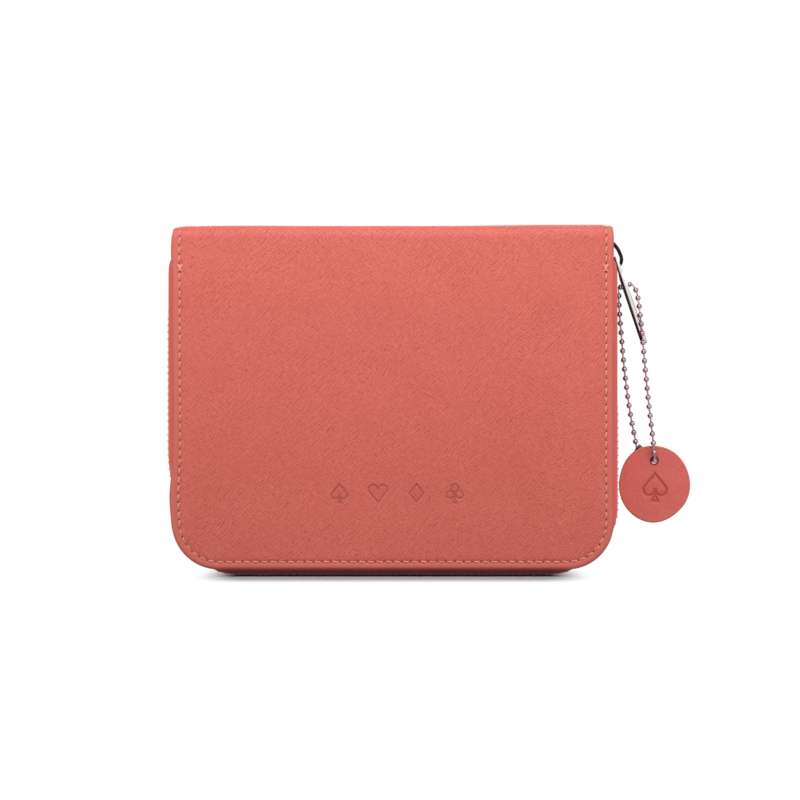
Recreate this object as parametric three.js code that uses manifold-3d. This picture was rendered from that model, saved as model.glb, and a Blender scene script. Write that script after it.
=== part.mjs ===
// A zip-around leather case for two decks of bridge cards, a score pad and a pencil.
// It stands on its zip. +X runs to the right, +Y from the front cover to the back cover, +Z up.
// The fold is at the top. The origin is the middle of the zip's lowest face. All sizes are in millimetres.
import * as THREE from "three";
import { mergeVertices } from "three/addons/utils/BufferGeometryUtils.js";
import Module from "manifold-3d";

const wasm = await Module();
wasm.setup();

// The closed case
const coverWidth = 160;
const coverHeight = 124;
const caseDepth = 36;
const cornerRadius = 17;
const foldRadius = 4;
const edgeRoll = 1.2;
const zipProtrusion = 2.6;
const zipTuck = 4.25;
const rightElbowDrop = 65.8;
const leftElbowDrop = 31.8;
const elbowRadius = 90;

// The layers of a leaf, from the outside in, and the clearances between them
const leatherThickness = 1.4;
const boardThickness = 1.6;
const tapeThickness = 0.6;
const liningThickness = 0.8;
const layerGap = 0.1;
const foldGap = 0.2;
const liningGap = 0.3;

// The zip tape under the covers
const tapeMargin = 9;
const tapeBendInset = 3.6;
const tapeTopGap = 0.6;
const tapeFlat = 5.4;
const tapeBulgeTop = 4.3;
const tapeBulgeFade = 4;
const spineLiningInset = 6.5;

// The zip's chain
const toothPitch = 2.5;
const toothHeight = 2.2;
const toothLap = 0.45;
const toothShoulder = 2.6;
const toothLength = 3.1;
const toothHeadWidth = 1;
const toothBackWidth = 1.4;
const toothBackHeight = 1.2;
const cordHeight = 1;
const cordReach = 1.5;
const stopLength = 1.6;
const bottomStopLength = 2.4;
const stopGap = 0.2;

// The slider, measured along the zip, across it and out from it
const sliderLength = 12;
const sliderTailWidth = 8.4;
const sliderShoulderWidth = 10;
const sliderPlateThickness = 1.1;
const sliderChannelWidth = 7;
const sliderSlot = 1.2;
const sliderChannelGap = 0.25;
const sliderDrop = 4.8;
const sliderCapTuck = 0.2;
const bailLength = 10;
const bailHeight = 3.7;
const bailThickness = 1.2;
const bailWidth = 2.4;

// The puller's plate, measured from the middle of its eye bar
const pullerLength = 33;
const pullerWidth = 6;
const pullerEyeWidth = 5.4;
const pullerThickness = 1.9;
const pullerEyeThickness = 1.3;
const pullerNeck = 8;
const pullerBar = 0.65;
const pullerWindowLength = 6.2;
const pullerWindowWidth = 3.2;
const pullerHolePlace = 10.8;
const pullerHoleRadius = 1.4;
const pullerTilt = THREE.MathUtils.degToRad(18.6);

// The bead chain, its connector and the tag
const beadDiameter = 2;
const beadPitch = 3.32;
const linkDiameter = 0.6;
const chainDrop = 63.95;
const connectorLength = 6;
const connectorBore = 2.5;
const connectorWall = 0.35;
const connectorGap = 0.25;
const tagWidth = 26;
const tagHeight = 28.2;
const tagThickness = 2.2;
const tagEdge = 0.35;
const tagHoleRadius = 1.55;
const tagHoleDrop = 8.6;

// The pockets for two decks of bridge size cards, a score pad and a pencil. Their margins are measured
// from the covers' sides, their drops from the leaves' tops.
const deckDepth = 17.5;
const deckDepthPlay = 1;
const deckPocketMargin = 10.1;
const deckPocketDrop = 32.4;
const deckPocketBase = 12;
const deckNotchRadius = 11;
const pocketWall = 1.2;
const pocketFlange = 3.5;
const pocketCorner = 2.5;
const pocketSpacing = 1;
const padRoom = 4.4;
const padPocketMargin = 19.3;
const padPocketDrop = 36.4;
const padPocketBase = 14;
const padNotchRadius = 14;
const pencilRoom = 6.6;
const pencilLoopWidth = 22;
const pencilLoopDrop = 17.4;
const pencilLoopMargin = 26;

// How far a cutting body runs past what it cuts
const overrun = 0.5;

// How finely curves are stepped
const cornerSteps = 8;
const foldSteps = 5;
const rollSteps = 3;
const bendSteps = 3;
const tapeCornerSteps = 5;
const tapeFadeSteps = 4;
const holeSteps = 16;
const smallRoundSteps = 4;
const bailSteps = 12;
const beadSides = 6;
const tubeSides = 12;
const tagSteps = 36;
const chainSamples = 600;

// The tooth's place on its cord, as shares of the tooth pitch
const frontRowShiftShare = 0.5;

// The bail's middle line: shares of half its length along the slider, and of its height off the plate
const bailRouteShares = [
  [1.06, -0.2], [1, 0.05], [0.55, 0.58], [0.07, 0.88],
  [-0.35, 1], [-0.73, 0.85], [-0.98, 0.4], [-1.04, -0.2],
];
// Where the puller's eye bar hangs in the bail: shares of the same two sizes
const pullerPivotShares = [-0.256, 0.42];

// The profile of a bead: shares of its radius along the chain and out from its middle
const beadRingShares = [[-0.6, 0.8], [0, 1], [0.6, 0.8]];
const beadEndShare = 0.95;

// The chain's loop from the puller's hole down its front strand, through the tag's hole and up again.
// Each point's X, Y and Z are shares of the chain's drop, and Y is towards the back. The connector lies
// against the tag's back, so only its X and Z are shares.
const frontStrandShares = [
  [0.0574, -0.011, -0.0166], [0.0711, -0.033, -0.0647], [0.0774, -0.056, -0.1188], [0.0829, -0.0705, -0.172],
  [0.0929, -0.075, -0.272], [0.1118, -0.069, -0.48], [0.1342, -0.052, -0.69], [0.1564, -0.0385, -0.868],
  [0.166, -0.0368, -0.965], [0.1668, -0.031, -0.992],
];
const tagHoleShares = [0.1668, 0, -1];
const connectorMiddleShares = [0.1071, -0.9548];
const connectorSlopeShares = [-0.788, 0, 0.616];
const backStrandShares = [
  [0.061, 0.041, -0.88], [0.0327, 0.03, -0.7334], [0.0028, 0.016, -0.5254],
  [-0.0224, 0.006, -0.2658], [-0.0344, 0.002, -0.1095], [-0.0352, 0, -0.055],
];
const beadTwistShares = [1, 1, 1];

// The tag's hand-cut edge: ripples as shares of its radius, with how many go round it and their turn
const tagRippleShares = [0.012, 0.007];
const tagRippleCounts = [3, 5];
const tagRippleTurns = [1.6, 3.1];

// Depths from a leaf's outer face, and the case's main lines
const boardFace = leatherThickness + layerGap;
const rimDepth = boardFace + boardThickness;
const tapeFace = rimDepth + layerGap;
const liningFace = tapeFace + tapeThickness + layerGap;
const leafThickness = liningFace + liningThickness;
const leafInside = caseDepth / 2 - leafThickness;
const liningInset = tapeBendInset + foldGap;
const liningPadInset = tapeMargin + liningGap;
const coverBottom = zipProtrusion;
const caseTop = coverBottom + coverHeight;
const leafTop = caseTop - foldRadius - foldGap;
const quarterTurn = Math.PI / 2;

// The zip's middle line: straight along the bottom, round both corners, then up two legs
const chainRadius = cornerRadius + zipProtrusion - toothHeight / 2;
const chainCornerX = coverWidth / 2 - cornerRadius;
const chainCornerZ = coverBottom + cornerRadius;
const chainTop = leafTop - tapeTopGap;
const cornerRun = chainRadius * quarterTurn;
const toothBackGap = layerGap;

// A leg of the zip goes straight up to its elbow, bends inwards there, and goes on straight to the top.
// The elbow's drop is measured down from the zip's top.
function legTo(elbowDrop) {
  const inwards = zipTuck - elbowRadius;
  const straight = Math.sqrt(inwards ** 2 + elbowDrop ** 2 - elbowRadius ** 2);
  const lean = Math.atan2(straight, -elbowRadius) - Math.atan2(elbowDrop, inwards);
  const rise = chainTop - elbowDrop - chainCornerZ;
  const bend = elbowRadius * lean;
  return { rise, bend, lean, run: chainCornerX + cornerRun + rise + bend + straight };
}
const rightLeg = legTo(rightElbowDrop);
const leftLeg = legTo(leftElbowDrop);

// The finishes
const finishes = {
  coral: new THREE.MeshStandardMaterial({ color: 0xde7064, roughness: 0.55, metalness: 0 }),
  lining: new THREE.MeshStandardMaterial({ color: 0xd98a7c, roughness: 0.7, metalness: 0 }),
  board: new THREE.MeshStandardMaterial({ color: 0x9a8468, roughness: 0.9, metalness: 0 }),
  tape: new THREE.MeshStandardMaterial({ color: 0xdc504f, roughness: 0.85, metalness: 0 }),
  metal: new THREE.MeshStandardMaterial({ color: 0xc9c6c6, roughness: 0.25, metalness: 1 }),
};
for (const finish of Object.values(finishes)) {
  finish.flatShading = true;
}

// A closed body from corners and faces, its shared corners merged and its faces turned outwards.
function closedBody(geometry) {
  const bare = new THREE.BufferGeometry();
  bare.setAttribute("position", geometry.getAttribute("position"));
  if (geometry.index) {
    bare.setIndex(geometry.index);
  }
  const body = mergeVertices(bare);
  const place = body.getAttribute("position");
  const index = body.index.array;
  const corners = [new THREE.Vector3(), new THREE.Vector3(), new THREE.Vector3()];
  let volume = 0;
  for (let i = 0; i < index.length; i += 3) {
    corners.forEach((corner, k) => corner.fromBufferAttribute(place, index[i + k]));
    volume += corners[0].dot(corners[1].cross(corners[2]));
  }
  if (volume < 0) {
    for (let i = 0; i < index.length; i += 3) {
      [index[i + 1], index[i + 2]] = [index[i + 2], index[i + 1]];
    }
  }
  return body;
}

// Corners and faces as a closed body.
function bodyOf(corners, faces) {
  const geometry = new THREE.BufferGeometry().setFromPoints(corners);
  geometry.setIndex(faces);
  return closedBody(geometry);
}

// Skins equal rings into one body. With a section the ends are closed to it, else the last ring meets
// the first.
function skin(rings, section = null) {
  const size = rings[0].length;
  const faces = [];
  const spans = section ? rings.length - 1 : rings.length;
  for (let ring = 0; ring < spans; ring += 1) {
    const here = ring * size;
    const next = ((ring + 1) % rings.length) * size;
    for (let i = 0; i < size; i += 1) {
      const j = (i + 1) % size;
      faces.push(here + i, here + j, next + j, here + i, next + j, next + i);
    }
  }
  if (section) {
    const last = (rings.length - 1) * size;
    const turned = THREE.ShapeUtils.isClockWise(section);
    for (const [a, b, c] of THREE.ShapeUtils.triangulateShape(section, [])) {
      const [p, q, r] = turned ? [a, c, b] : [a, b, c];
      faces.push(p, r, q, last + p, last + q, last + r);
    }
  }
  return bodyOf(rings.flat(), faces);
}

// A shape pushed along its normal, then laid so that its X, Y and push run along the given directions.
function pushed(shape, depth, xWay, yWay, pushWay, start, options = {}) {
  const geometry = new THREE.ExtrudeGeometry(shape, {
    depth,
    bevelEnabled: false,
    curveSegments: smallRoundSteps,
    ...options,
  });
  geometry.applyMatrix4(new THREE.Matrix4().makeBasis(xWay, yWay, pushWay).setPosition(start));
  return closedBody(geometry);
}

const xWay = new THREE.Vector3(1, 0, 0);
const yWay = new THREE.Vector3(0, 1, 0);
const zWay = new THREE.Vector3(0, 0, 1);

// A box between two corners.
function box(low, high) {
  const size = new THREE.Vector3().subVectors(high, low);
  const middle = new THREE.Vector3().addVectors(low, high).multiplyScalar(0.5);
  return closedBody(new THREE.BoxGeometry(size.x, size.y, size.z).translate(middle.x, middle.y, middle.z));
}

// A body as a solid that can be joined and cut, and back.
function toSolid(body) {
  const vertProperties = body.getAttribute("position").array;
  const triVerts = new Uint32Array(body.index.array);
  return new wasm.Manifold(new wasm.Mesh({ numProp: 3, vertProperties, triVerts }));
}

function fromSolid(solid) {
  const mesh = solid.getMesh();
  const geometry = new THREE.BufferGeometry();
  geometry.setAttribute("position", new THREE.BufferAttribute(new Float32Array(mesh.vertProperties), 3));
  geometry.setIndex(Array.from(mesh.triVerts));
  return geometry;
}

function join(first, ...others) {
  return fromSolid(others.reduce((solid, other) => solid.add(toSolid(other)), toSolid(first)));
}

function common(first, second) {
  return fromSolid(toSolid(first).intersect(toSolid(second)));
}

function cut(first, ...tools) {
  return fromSolid(tools.reduce((solid, tool) => solid.subtract(toSolid(tool)), toSolid(first)));
}

// Steps of a quarter round edge: how far the side and the face are drawn in, from the face to the side.
function rollProfile(radius) {
  return Array.from({ length: rollSteps + 1 }, (_, step) => {
    const turn = (quarterTurn * step) / rollSteps;
    return [radius * (1 - Math.sin(turn)), radius * (1 - Math.cos(turn))];
  });
}

// A leaf's outline seen from the front, its three open edges drawn in by inset.
function leafOutline(inset, top = leafTop) {
  const half = coverWidth / 2 - inset;
  const bottom = coverBottom + inset;
  const radius = cornerRadius - inset;
  const right = [];
  for (let step = 0; step <= cornerSteps; step += 1) {
    const turn = (quarterTurn * step) / cornerSteps;
    right.push([half - radius + radius * Math.sin(turn), bottom + radius - radius * Math.cos(turn)]);
  }
  right.push([half, top]);
  const left = right.map(([x, z]) => [-x, z]).reverse();
  return [...right, ...left].map(([x, z]) => new THREE.Vector2(x, z));
}

// A plate of a leaf from steps of inset and depth below the leaf's outer face. Side is 1 at the back.
function leafPlate(side, steps, top = leafTop) {
  const rings = steps.map(([inset, depth]) =>
    leafOutline(inset, top).map((p) => new THREE.Vector3(p.x, side * (caseDepth / 2 - depth), p.y)),
  );
  return skin(rings, leafOutline(steps[0][0], top));
}

// The cover's leather: a plate with rolled edges, its rim turned down over the board on the open sides.
function coverLeather(side) {
  const outer = leafPlate(side, [...rollProfile(edgeRoll), [0, rimDepth]]);
  const room = leafPlate(
    side,
    [[leatherThickness, leatherThickness], [leatherThickness, rimDepth + overrun]],
    leafTop + overrun,
  );
  return cut(outer, room);
}

function coverBoard(side) {
  const inset = leatherThickness + layerGap;
  return leafPlate(side, [[inset, boardFace], [inset, rimDepth]], leafTop - foldGap);
}

// The lining: a thick middle, and a thin border that laps the zip tape.
function coverLining(side) {
  return leafPlate(side, [
    [liningPadInset, tapeFace],
    [liningPadInset, liningFace],
    [liningInset, liningFace],
    [liningInset, leafThickness],
  ]);
}

// The spine's section between two depths, over the top and down both folds, its feet lengthened by foot.
function spineSection(outerDepth, innerDepth, foot = 0) {
  const half = (depth) => {
    const radius = foldRadius - depth;
    const points = foot ? [[caseDepth / 2 - depth, caseTop - foldRadius - foot]] : [];
    for (let step = 0; step <= foldSteps; step += 1) {
      const turn = (quarterTurn * step) / foldSteps;
      points.push([
        caseDepth / 2 - foldRadius + radius * Math.cos(turn),
        caseTop - foldRadius + radius * Math.sin(turn),
      ]);
    }
    return points;
  };
  const curve = (depth) => [...half(depth), ...half(depth).map(([y, z]) => [-y, z]).reverse()];
  return [...curve(outerDepth), ...curve(innerDepth).reverse()].map(([y, z]) => new THREE.Vector2(y, z));
}

// The leather over the spine and round both folds, its ends rolled and turned in like the covers' edges.
function spineLeather() {
  const ringAt = (x, depth) => spineSection(depth, rimDepth).map((p) => new THREE.Vector3(x, p.x, p.y));
  const ends = rollProfile(edgeRoll);
  const left = ends.map(([inset, depth]) => ringAt(depth - coverWidth / 2, inset));
  const right = ends.map(([inset, depth]) => ringAt(coverWidth / 2 - depth, inset)).reverse();
  const outer = skin([...left, ...right], spineSection(edgeRoll, rimDepth));
  const roomHalf = coverWidth / 2 - leatherThickness;
  const roomAt = (x) =>
    spineSection(leatherThickness, rimDepth + overrun, overrun).map((p) => new THREE.Vector3(x, p.x, p.y));
  const room = skin(
    [roomAt(-roomHalf), roomAt(roomHalf)],
    spineSection(leatherThickness, rimDepth + overrun, overrun),
  );
  return cut(outer, room);
}

function spineBoard() {
  const halfWidth = coverWidth / 2 - leatherThickness - layerGap;
  const halfDepth = caseDepth / 2 - foldRadius - foldGap;
  return box(
    new THREE.Vector3(-halfWidth, -halfDepth, caseTop - rimDepth),
    new THREE.Vector3(halfWidth, halfDepth, caseTop - boardFace),
  );
}

function spineLining() {
  const halfWidth = coverWidth / 2 - spineLiningInset;
  const halfDepth = leafInside - liningGap;
  const top = caseTop - rimDepth - layerGap;
  return box(
    new THREE.Vector3(-halfWidth, -halfDepth, top - liningThickness),
    new THREE.Vector3(halfWidth, halfDepth, top),
  );
}

// A place on the zip's middle line: its point, its outward and forward directions, and how far the
// covers' edge and the tapes' bulge lie outwards from it. Run is measured from the middle of the bottom,
// positive to the right.
function chainPlace(run) {
  const way = run < 0 ? -1 : 1;
  const leg = run < 0 ? leftLeg : rightLeg;
  const length = Math.abs(run);
  const past = Math.max(0, length - chainCornerX);
  const corner = Math.min(past, cornerRun) / chainRadius;
  const up = Math.max(0, past - cornerRun);
  const elbow = Math.min(Math.max(0, up - leg.rise), leg.bend) / elbowRadius;
  const rest = Math.max(0, up - leg.rise - leg.bend);
  const turn = corner + elbow;
  const x =
    Math.min(length, chainCornerX) +
    chainRadius * Math.sin(corner) -
    elbowRadius * (1 - Math.cos(elbow)) -
    rest * Math.sin(elbow);
  const z =
    chainCornerZ -
    chainRadius * Math.cos(corner) +
    Math.min(up, leg.rise) +
    elbowRadius * Math.sin(elbow) +
    rest * Math.cos(elbow);
  const out = new THREE.Vector3(way * Math.sin(turn), 0, -Math.cos(turn));
  const along = new THREE.Vector3(Math.cos(turn), 0, way * Math.sin(turn));
  const edge = up > 0 ? (coverWidth / 2 - x) / Math.sin(turn) : cornerRadius - chainRadius;
  const fade = THREE.MathUtils.smoothstep(leg.run - length - tapeBulgeTop, 0, tapeBulgeFade);
  const bulge = up > 0 ? (chainCornerX + chainRadius - x) * fade : 0;
  return { point: new THREE.Vector3(way * x, 0, z), out, along, edge, bulge };
}

// A point near the zip's middle line: outwards from it, towards the back, and forwards along it.
function chainPoint(place, outwards, back, forwards = 0) {
  return place.point
    .clone()
    .addScaledVector(place.out, outwards)
    .addScaledVector(place.along, forwards)
    .add(new THREE.Vector3(0, back, 0));
}

// A strip's outline from the points of its middle line, offset by half its thickness to both sides.
function stripOutline(points, thickness) {
  const last = points.length - 1;
  const normalAt = (a, b) => new THREE.Vector2(b.y - a.y, a.x - b.x).normalize();
  const offsets = points.map((point, i) => {
    const before = normalAt(points[Math.max(0, i - 1)], points[Math.max(1, i)]);
    const after = normalAt(points[Math.min(i, last - 1)], points[Math.min(i + 1, last)]);
    const middle = before.clone().add(after).normalize();
    return middle.multiplyScalar(thickness / (2 * middle.dot(before)));
  });
  const near = points.map((point, i) => point.clone().add(offsets[i]));
  const far = points.map((point, i) => point.clone().sub(offsets[i]));
  return [...near, ...far.reverse()];
}

// The tape's section: flat beside the teeth, out to its bulge, round a bend, and in flat under the board.
function tapeSection(place) {
  const marginMiddle = caseDepth / 2 - tapeFace - tapeThickness / 2;
  const bend = tapeBendInset - place.edge + place.bulge;
  const shoulder = marginMiddle - bend;
  const middleLine = [
    [0, toothLength + toothBackGap],
    [0, tapeFlat],
    [place.bulge / 2, (tapeFlat + shoulder) / 2],
  ];
  for (let step = 0; step <= bendSteps; step += 1) {
    const turn = (quarterTurn * step) / bendSteps;
    middleLine.push([place.bulge - bend * (1 - Math.cos(turn)), shoulder + bend * Math.sin(turn)]);
  }
  middleLine.push([place.edge - tapeMargin, marginMiddle]);
  return stripOutline(middleLine.map((p) => new THREE.Vector2(...p)), tapeThickness);
}

// The places of a zip tape's rings, from its left end to its right end.
function tapeRuns() {
  const runsOf = (leg) => {
    const runs = [chainCornerX];
    for (let step = 1; step <= tapeCornerSteps; step += 1) {
      runs.push(chainCornerX + (cornerRun * step) / tapeCornerSteps);
    }
    const elbow = chainCornerX + cornerRun + leg.rise;
    const bulgeEnd = leg.run - tapeBulgeTop;
    const fades = [];
    for (let step = tapeFadeSteps; step >= 0; step -= 1) {
      fades.push(bulgeEnd - (tapeBulgeFade * step) / tapeFadeSteps);
    }
    return [...runs, elbow, elbow + leg.bend, ...fades, leg.run];
  };
  return [...runsOf(leftLeg).map((run) => -run).reverse(), ...runsOf(rightLeg)];
}

function zipTape(side) {
  const places = tapeRuns().map(chainPlace);
  const rings = places.map((place) => tapeSection(place).map((p) => chainPoint(place, p.x, side * p.y)));
  return skin(rings, tapeSection(places[0]));
}

// One row of teeth on its corded edge, from the first run to the last. The teeth reach past the middle
// line between those of the other row, and narrow from their clamped backs to their heads.
function zipRow(side, first, last) {
  const shift = side > 0 ? 0 : toothPitch * frontRowShiftShare;
  const widthAt = (back) =>
    toothHeadWidth + ((toothBackWidth - toothHeadWidth) * (back + toothLap)) / (toothLength + toothLap);
  const section = [
    [toothHeight / 2, -toothLap],
    [toothHeight / 2, toothShoulder],
    [toothBackHeight / 2, toothLength],
    [-toothBackHeight / 2, toothLength],
    [-toothHeight / 2, -toothLap],
    [-cordHeight / 2, cordReach],
    [cordHeight / 2, cordReach],
  ];
  const size = section.length;
  const toothLoop = [0, 1, 2, 3, 4];
  const cordLoop = [2, 3, 5, 6];
  const stepFaces = [[0, 1, 2], [0, 2, 6], [0, 6, 5], [0, 5, 4], [4, 5, 3]];
  const endFaces = [[0, 1, 2], [0, 2, 3], [0, 3, 4]];
  const corners = [];
  const faces = [];
  const band = (loop, from, to) => {
    loop.forEach((i, k) => {
      const j = loop[(k + 1) % loop.length];
      faces.push(from + i, from + j, to + j, from + i, to + j, to + i);
    });
  };
  const count = Math.floor((last - shift) / toothPitch) - Math.ceil((first - shift) / toothPitch) + 1;
  for (let tooth = 0; tooth < count; tooth += 1) {
    const place = chainPlace(shift + (Math.ceil((first - shift) / toothPitch) + tooth) * toothPitch);
    for (const end of [-1, 1]) {
      corners.push(
        ...section.map(([out, back]) => chainPoint(place, out, side * back, (end * widthAt(back)) / 2)),
      );
    }
    const start = 2 * tooth * size;
    const finish = start + size;
    band(toothLoop, start, finish);
    const startFaces = tooth ? stepFaces : endFaces;
    const finishFaces = tooth < count - 1 ? stepFaces : endFaces;
    startFaces.forEach(([a, b, c]) => faces.push(start + a, start + c, start + b));
    finishFaces.forEach(([a, b, c]) => faces.push(finish + a, finish + b, finish + c));
    if (tooth < count - 1) {
      band(cordLoop, finish, finish + size);
    }
  }
  return bodyOf(corners, faces);
}

// A block on the zip's chain between two runs, from one distance behind the middle line to another.
function chainBlock(firstRun, lastRun, low, high) {
  const half = toothHeight / 2;
  const corners = [[half, low], [half, high], [-half, high], [-half, low]];
  const section = corners.map((p) => new THREE.Vector2(...p));
  const rings = [firstRun, lastRun].map((run) => {
    const place = chainPlace(run);
    return section.map((p) => chainPoint(place, p.x, p.y));
  });
  return skin(rings, section);
}

// The run of a row's last tooth before the row's end.
function lastToothRun(side, last) {
  const shift = side > 0 ? 0 : toothPitch * frontRowShiftShare;
  return shift + Math.floor((last - shift) / toothPitch) * toothPitch;
}

// Where the rows end: at the slider's middle at the back, below its tail at the front.
const sliderRun = rightLeg.run - sliderDrop;
const backRowEnd = sliderRun - stopLength;
const frontRowEnd = sliderRun - sliderLength / 2 - 2 * stopLength;
const leftRowEnd = leftLeg.run - bottomStopLength - stopLength;
const frontStopStart = lastToothRun(-1, frontRowEnd) + toothBackWidth / 2 + stopGap;

function topStop(side, start) {
  const [low, high] = [side * cordReach, side * toothLength];
  return chainBlock(start, start + stopLength, Math.min(low, high), Math.max(low, high));
}

function zipBottomStop() {
  const end = -leftRowEnd - stopLength;
  return chainBlock(end - bottomStopLength, end, -toothLength, toothLength);
}

// The pocket's section seen from above: a front wall, two sides and two flanges against the lining.
function channelShape(room, depth, corner, withBack) {
  const half = room / 2 + pocketWall;
  const front = layerGap + depth + pocketWall;
  const innerCorner = corner - pocketWall;
  const shape = new THREE.Shape();
  if (withBack) {
    shape.moveTo(-half, layerGap);
    shape.lineTo(half, layerGap);
  } else {
    shape.moveTo(half - pocketWall, layerGap);
    shape.lineTo(half + pocketFlange, layerGap);
    shape.lineTo(half + pocketFlange, layerGap + pocketWall);
    shape.lineTo(half, layerGap + pocketWall);
  }
  shape.absarc(half - corner, front - corner, corner, 0, quarterTurn, false);
  shape.absarc(corner - half, front - corner, corner, quarterTurn, Math.PI, false);
  if (!withBack) {
    shape.lineTo(-half, layerGap + pocketWall);
    shape.lineTo(-half - pocketFlange, layerGap + pocketWall);
    shape.lineTo(-half - pocketFlange, layerGap);
    shape.lineTo(pocketWall - half, layerGap);
    shape.absarc(corner - half, front - corner, innerCorner, Math.PI, quarterTurn, true);
    shape.absarc(half - corner, front - corner, innerCorner, quarterTurn, 0, true);
  }
  shape.closePath();
  return shape;
}

// A box pocket on a leaf's lining, open at the top, with a thumb notch in its front wall.
function pocket(side, middle, room, depth, base, height, notch) {
  const lining = side * leafInside;
  const inwards = new THREE.Vector3(0, -side, 0);
  const start = new THREE.Vector3(middle, lining, base);
  const wallShape = channelShape(room, depth, pocketCorner, false);
  const floorShape = channelShape(room, depth, pocketCorner, true);
  const walls = pushed(wallShape, height, xWay, inwards, zWay, start);
  const floor = pushed(floorShape, pocketWall, xWay, inwards, zWay, start);
  const thumb = new THREE.Shape();
  thumb.absarc(0, 0, notch, 0, 2 * Math.PI, false);
  const notchStart = new THREE.Vector3(middle, lining - side * (depth / 2), base + height);
  const tool = pushed(thumb, depth, xWay, zWay, inwards, notchStart, { curveSegments: tubeSides });
  return cut(join(walls, floor), tool);
}

function deckPocket(way) {
  const [inner, outer] = [pocketSpacing / 2, coverWidth / 2 - deckPocketMargin];
  const room = outer - inner - 2 * (pocketWall + pocketFlange);
  const middle = (way * (inner + outer)) / 2;
  const height = leafTop - deckPocketDrop - deckPocketBase;
  return pocket(1, middle, room, deckDepth + deckDepthPlay, deckPocketBase, height, deckNotchRadius);
}

function scorePadPocket() {
  const room = coverWidth - 2 * (padPocketMargin + pocketWall + pocketFlange);
  const height = leafTop - padPocketDrop - padPocketBase;
  return pocket(-1, 0, room, padRoom, padPocketBase, height, padNotchRadius);
}

function pencilLoop() {
  const shape = channelShape(pencilRoom, pencilRoom, pencilRoom / 2 + pocketWall, false);
  const middle = leafTop - pencilLoopDrop + pencilRoom / 2 + pocketWall + pocketFlange;
  const start = new THREE.Vector3(coverWidth / 2 - pencilLoopMargin - pencilLoopWidth, -leafInside, middle);
  return pushed(shape, pencilLoopWidth, zWay, yWay, xWay, start);
}

// The slider's own directions: X out from the zip, Y towards the back, Z up along its leg.
const plateFoot = sliderSlot / 2;
const plateInside = toothHeight / 2 + sliderChannelGap;
const plateOutside = plateInside + sliderPlateThickness;

// A slider plate with its two flanges. Way is 1 for the outer plate.
function sliderPlate(way) {
  const [tail, head] = [-sliderLength / 2, sliderLength / 2];
  const shoulder = head / 3;
  const outline = new THREE.Shape();
  outline.moveTo(tail, -sliderTailWidth / 2);
  outline.lineTo(shoulder, -sliderShoulderWidth / 2);
  outline.quadraticCurveTo(head, -sliderShoulderWidth / 2, head, 0);
  outline.quadraticCurveTo(head, sliderShoulderWidth / 2, shoulder, sliderShoulderWidth / 2);
  outline.lineTo(tail, sliderTailWidth / 2);
  outline.closePath();
  const start = new THREE.Vector3(way * plateFoot, 0, 0);
  const out = new THREE.Vector3(way, 0, 0);
  const blank = pushed(outline, plateOutside - plateFoot, zWay, yWay, out, start);
  const channel = box(
    new THREE.Vector3(way > 0 ? 0 : -plateInside, -sliderChannelWidth / 2, tail - overrun),
    new THREE.Vector3(way > 0 ? plateInside : 0, sliderChannelWidth / 2, head + overrun),
  );
  return cut(blank, channel);
}

// A point on the bail's middle line plane from shares of its half length and of its height.
function bailPoint([alongShare, heightShare]) {
  return new THREE.Vector3(plateOutside + heightShare * bailHeight, 0, (alongShare * bailLength) / 2);
}

// The arch that carries the puller: a flat band on the outer plate, its feet trimmed to the plate.
function sliderBail() {
  const route = new THREE.CatmullRomCurve3(bailRouteShares.map(bailPoint));
  const [outer, inner] = [[], []];
  for (let step = 0; step <= bailSteps; step += 1) {
    const point = route.getPoint(step / bailSteps);
    const way = route.getTangent(step / bailSteps);
    const across = new THREE.Vector3(-way.z, 0, way.x).multiplyScalar(bailThickness / 2);
    outer.push(point.clone().add(across));
    inner.push(point.clone().sub(across));
  }
  const outline = [...outer, ...inner.reverse()].map((p) => new THREE.Vector2(p.x, p.z));
  const start = new THREE.Vector3(0, bailWidth / 2, 0);
  const band = pushed(new THREE.Shape(outline), bailWidth, xWay, zWay, yWay.clone().negate(), start);
  const trim = box(
    new THREE.Vector3(-plateOutside, -bailWidth, -bailLength),
    new THREE.Vector3(plateOutside + sliderCapTuck, bailWidth, bailLength),
  );
  return cut(band, trim);
}

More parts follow.
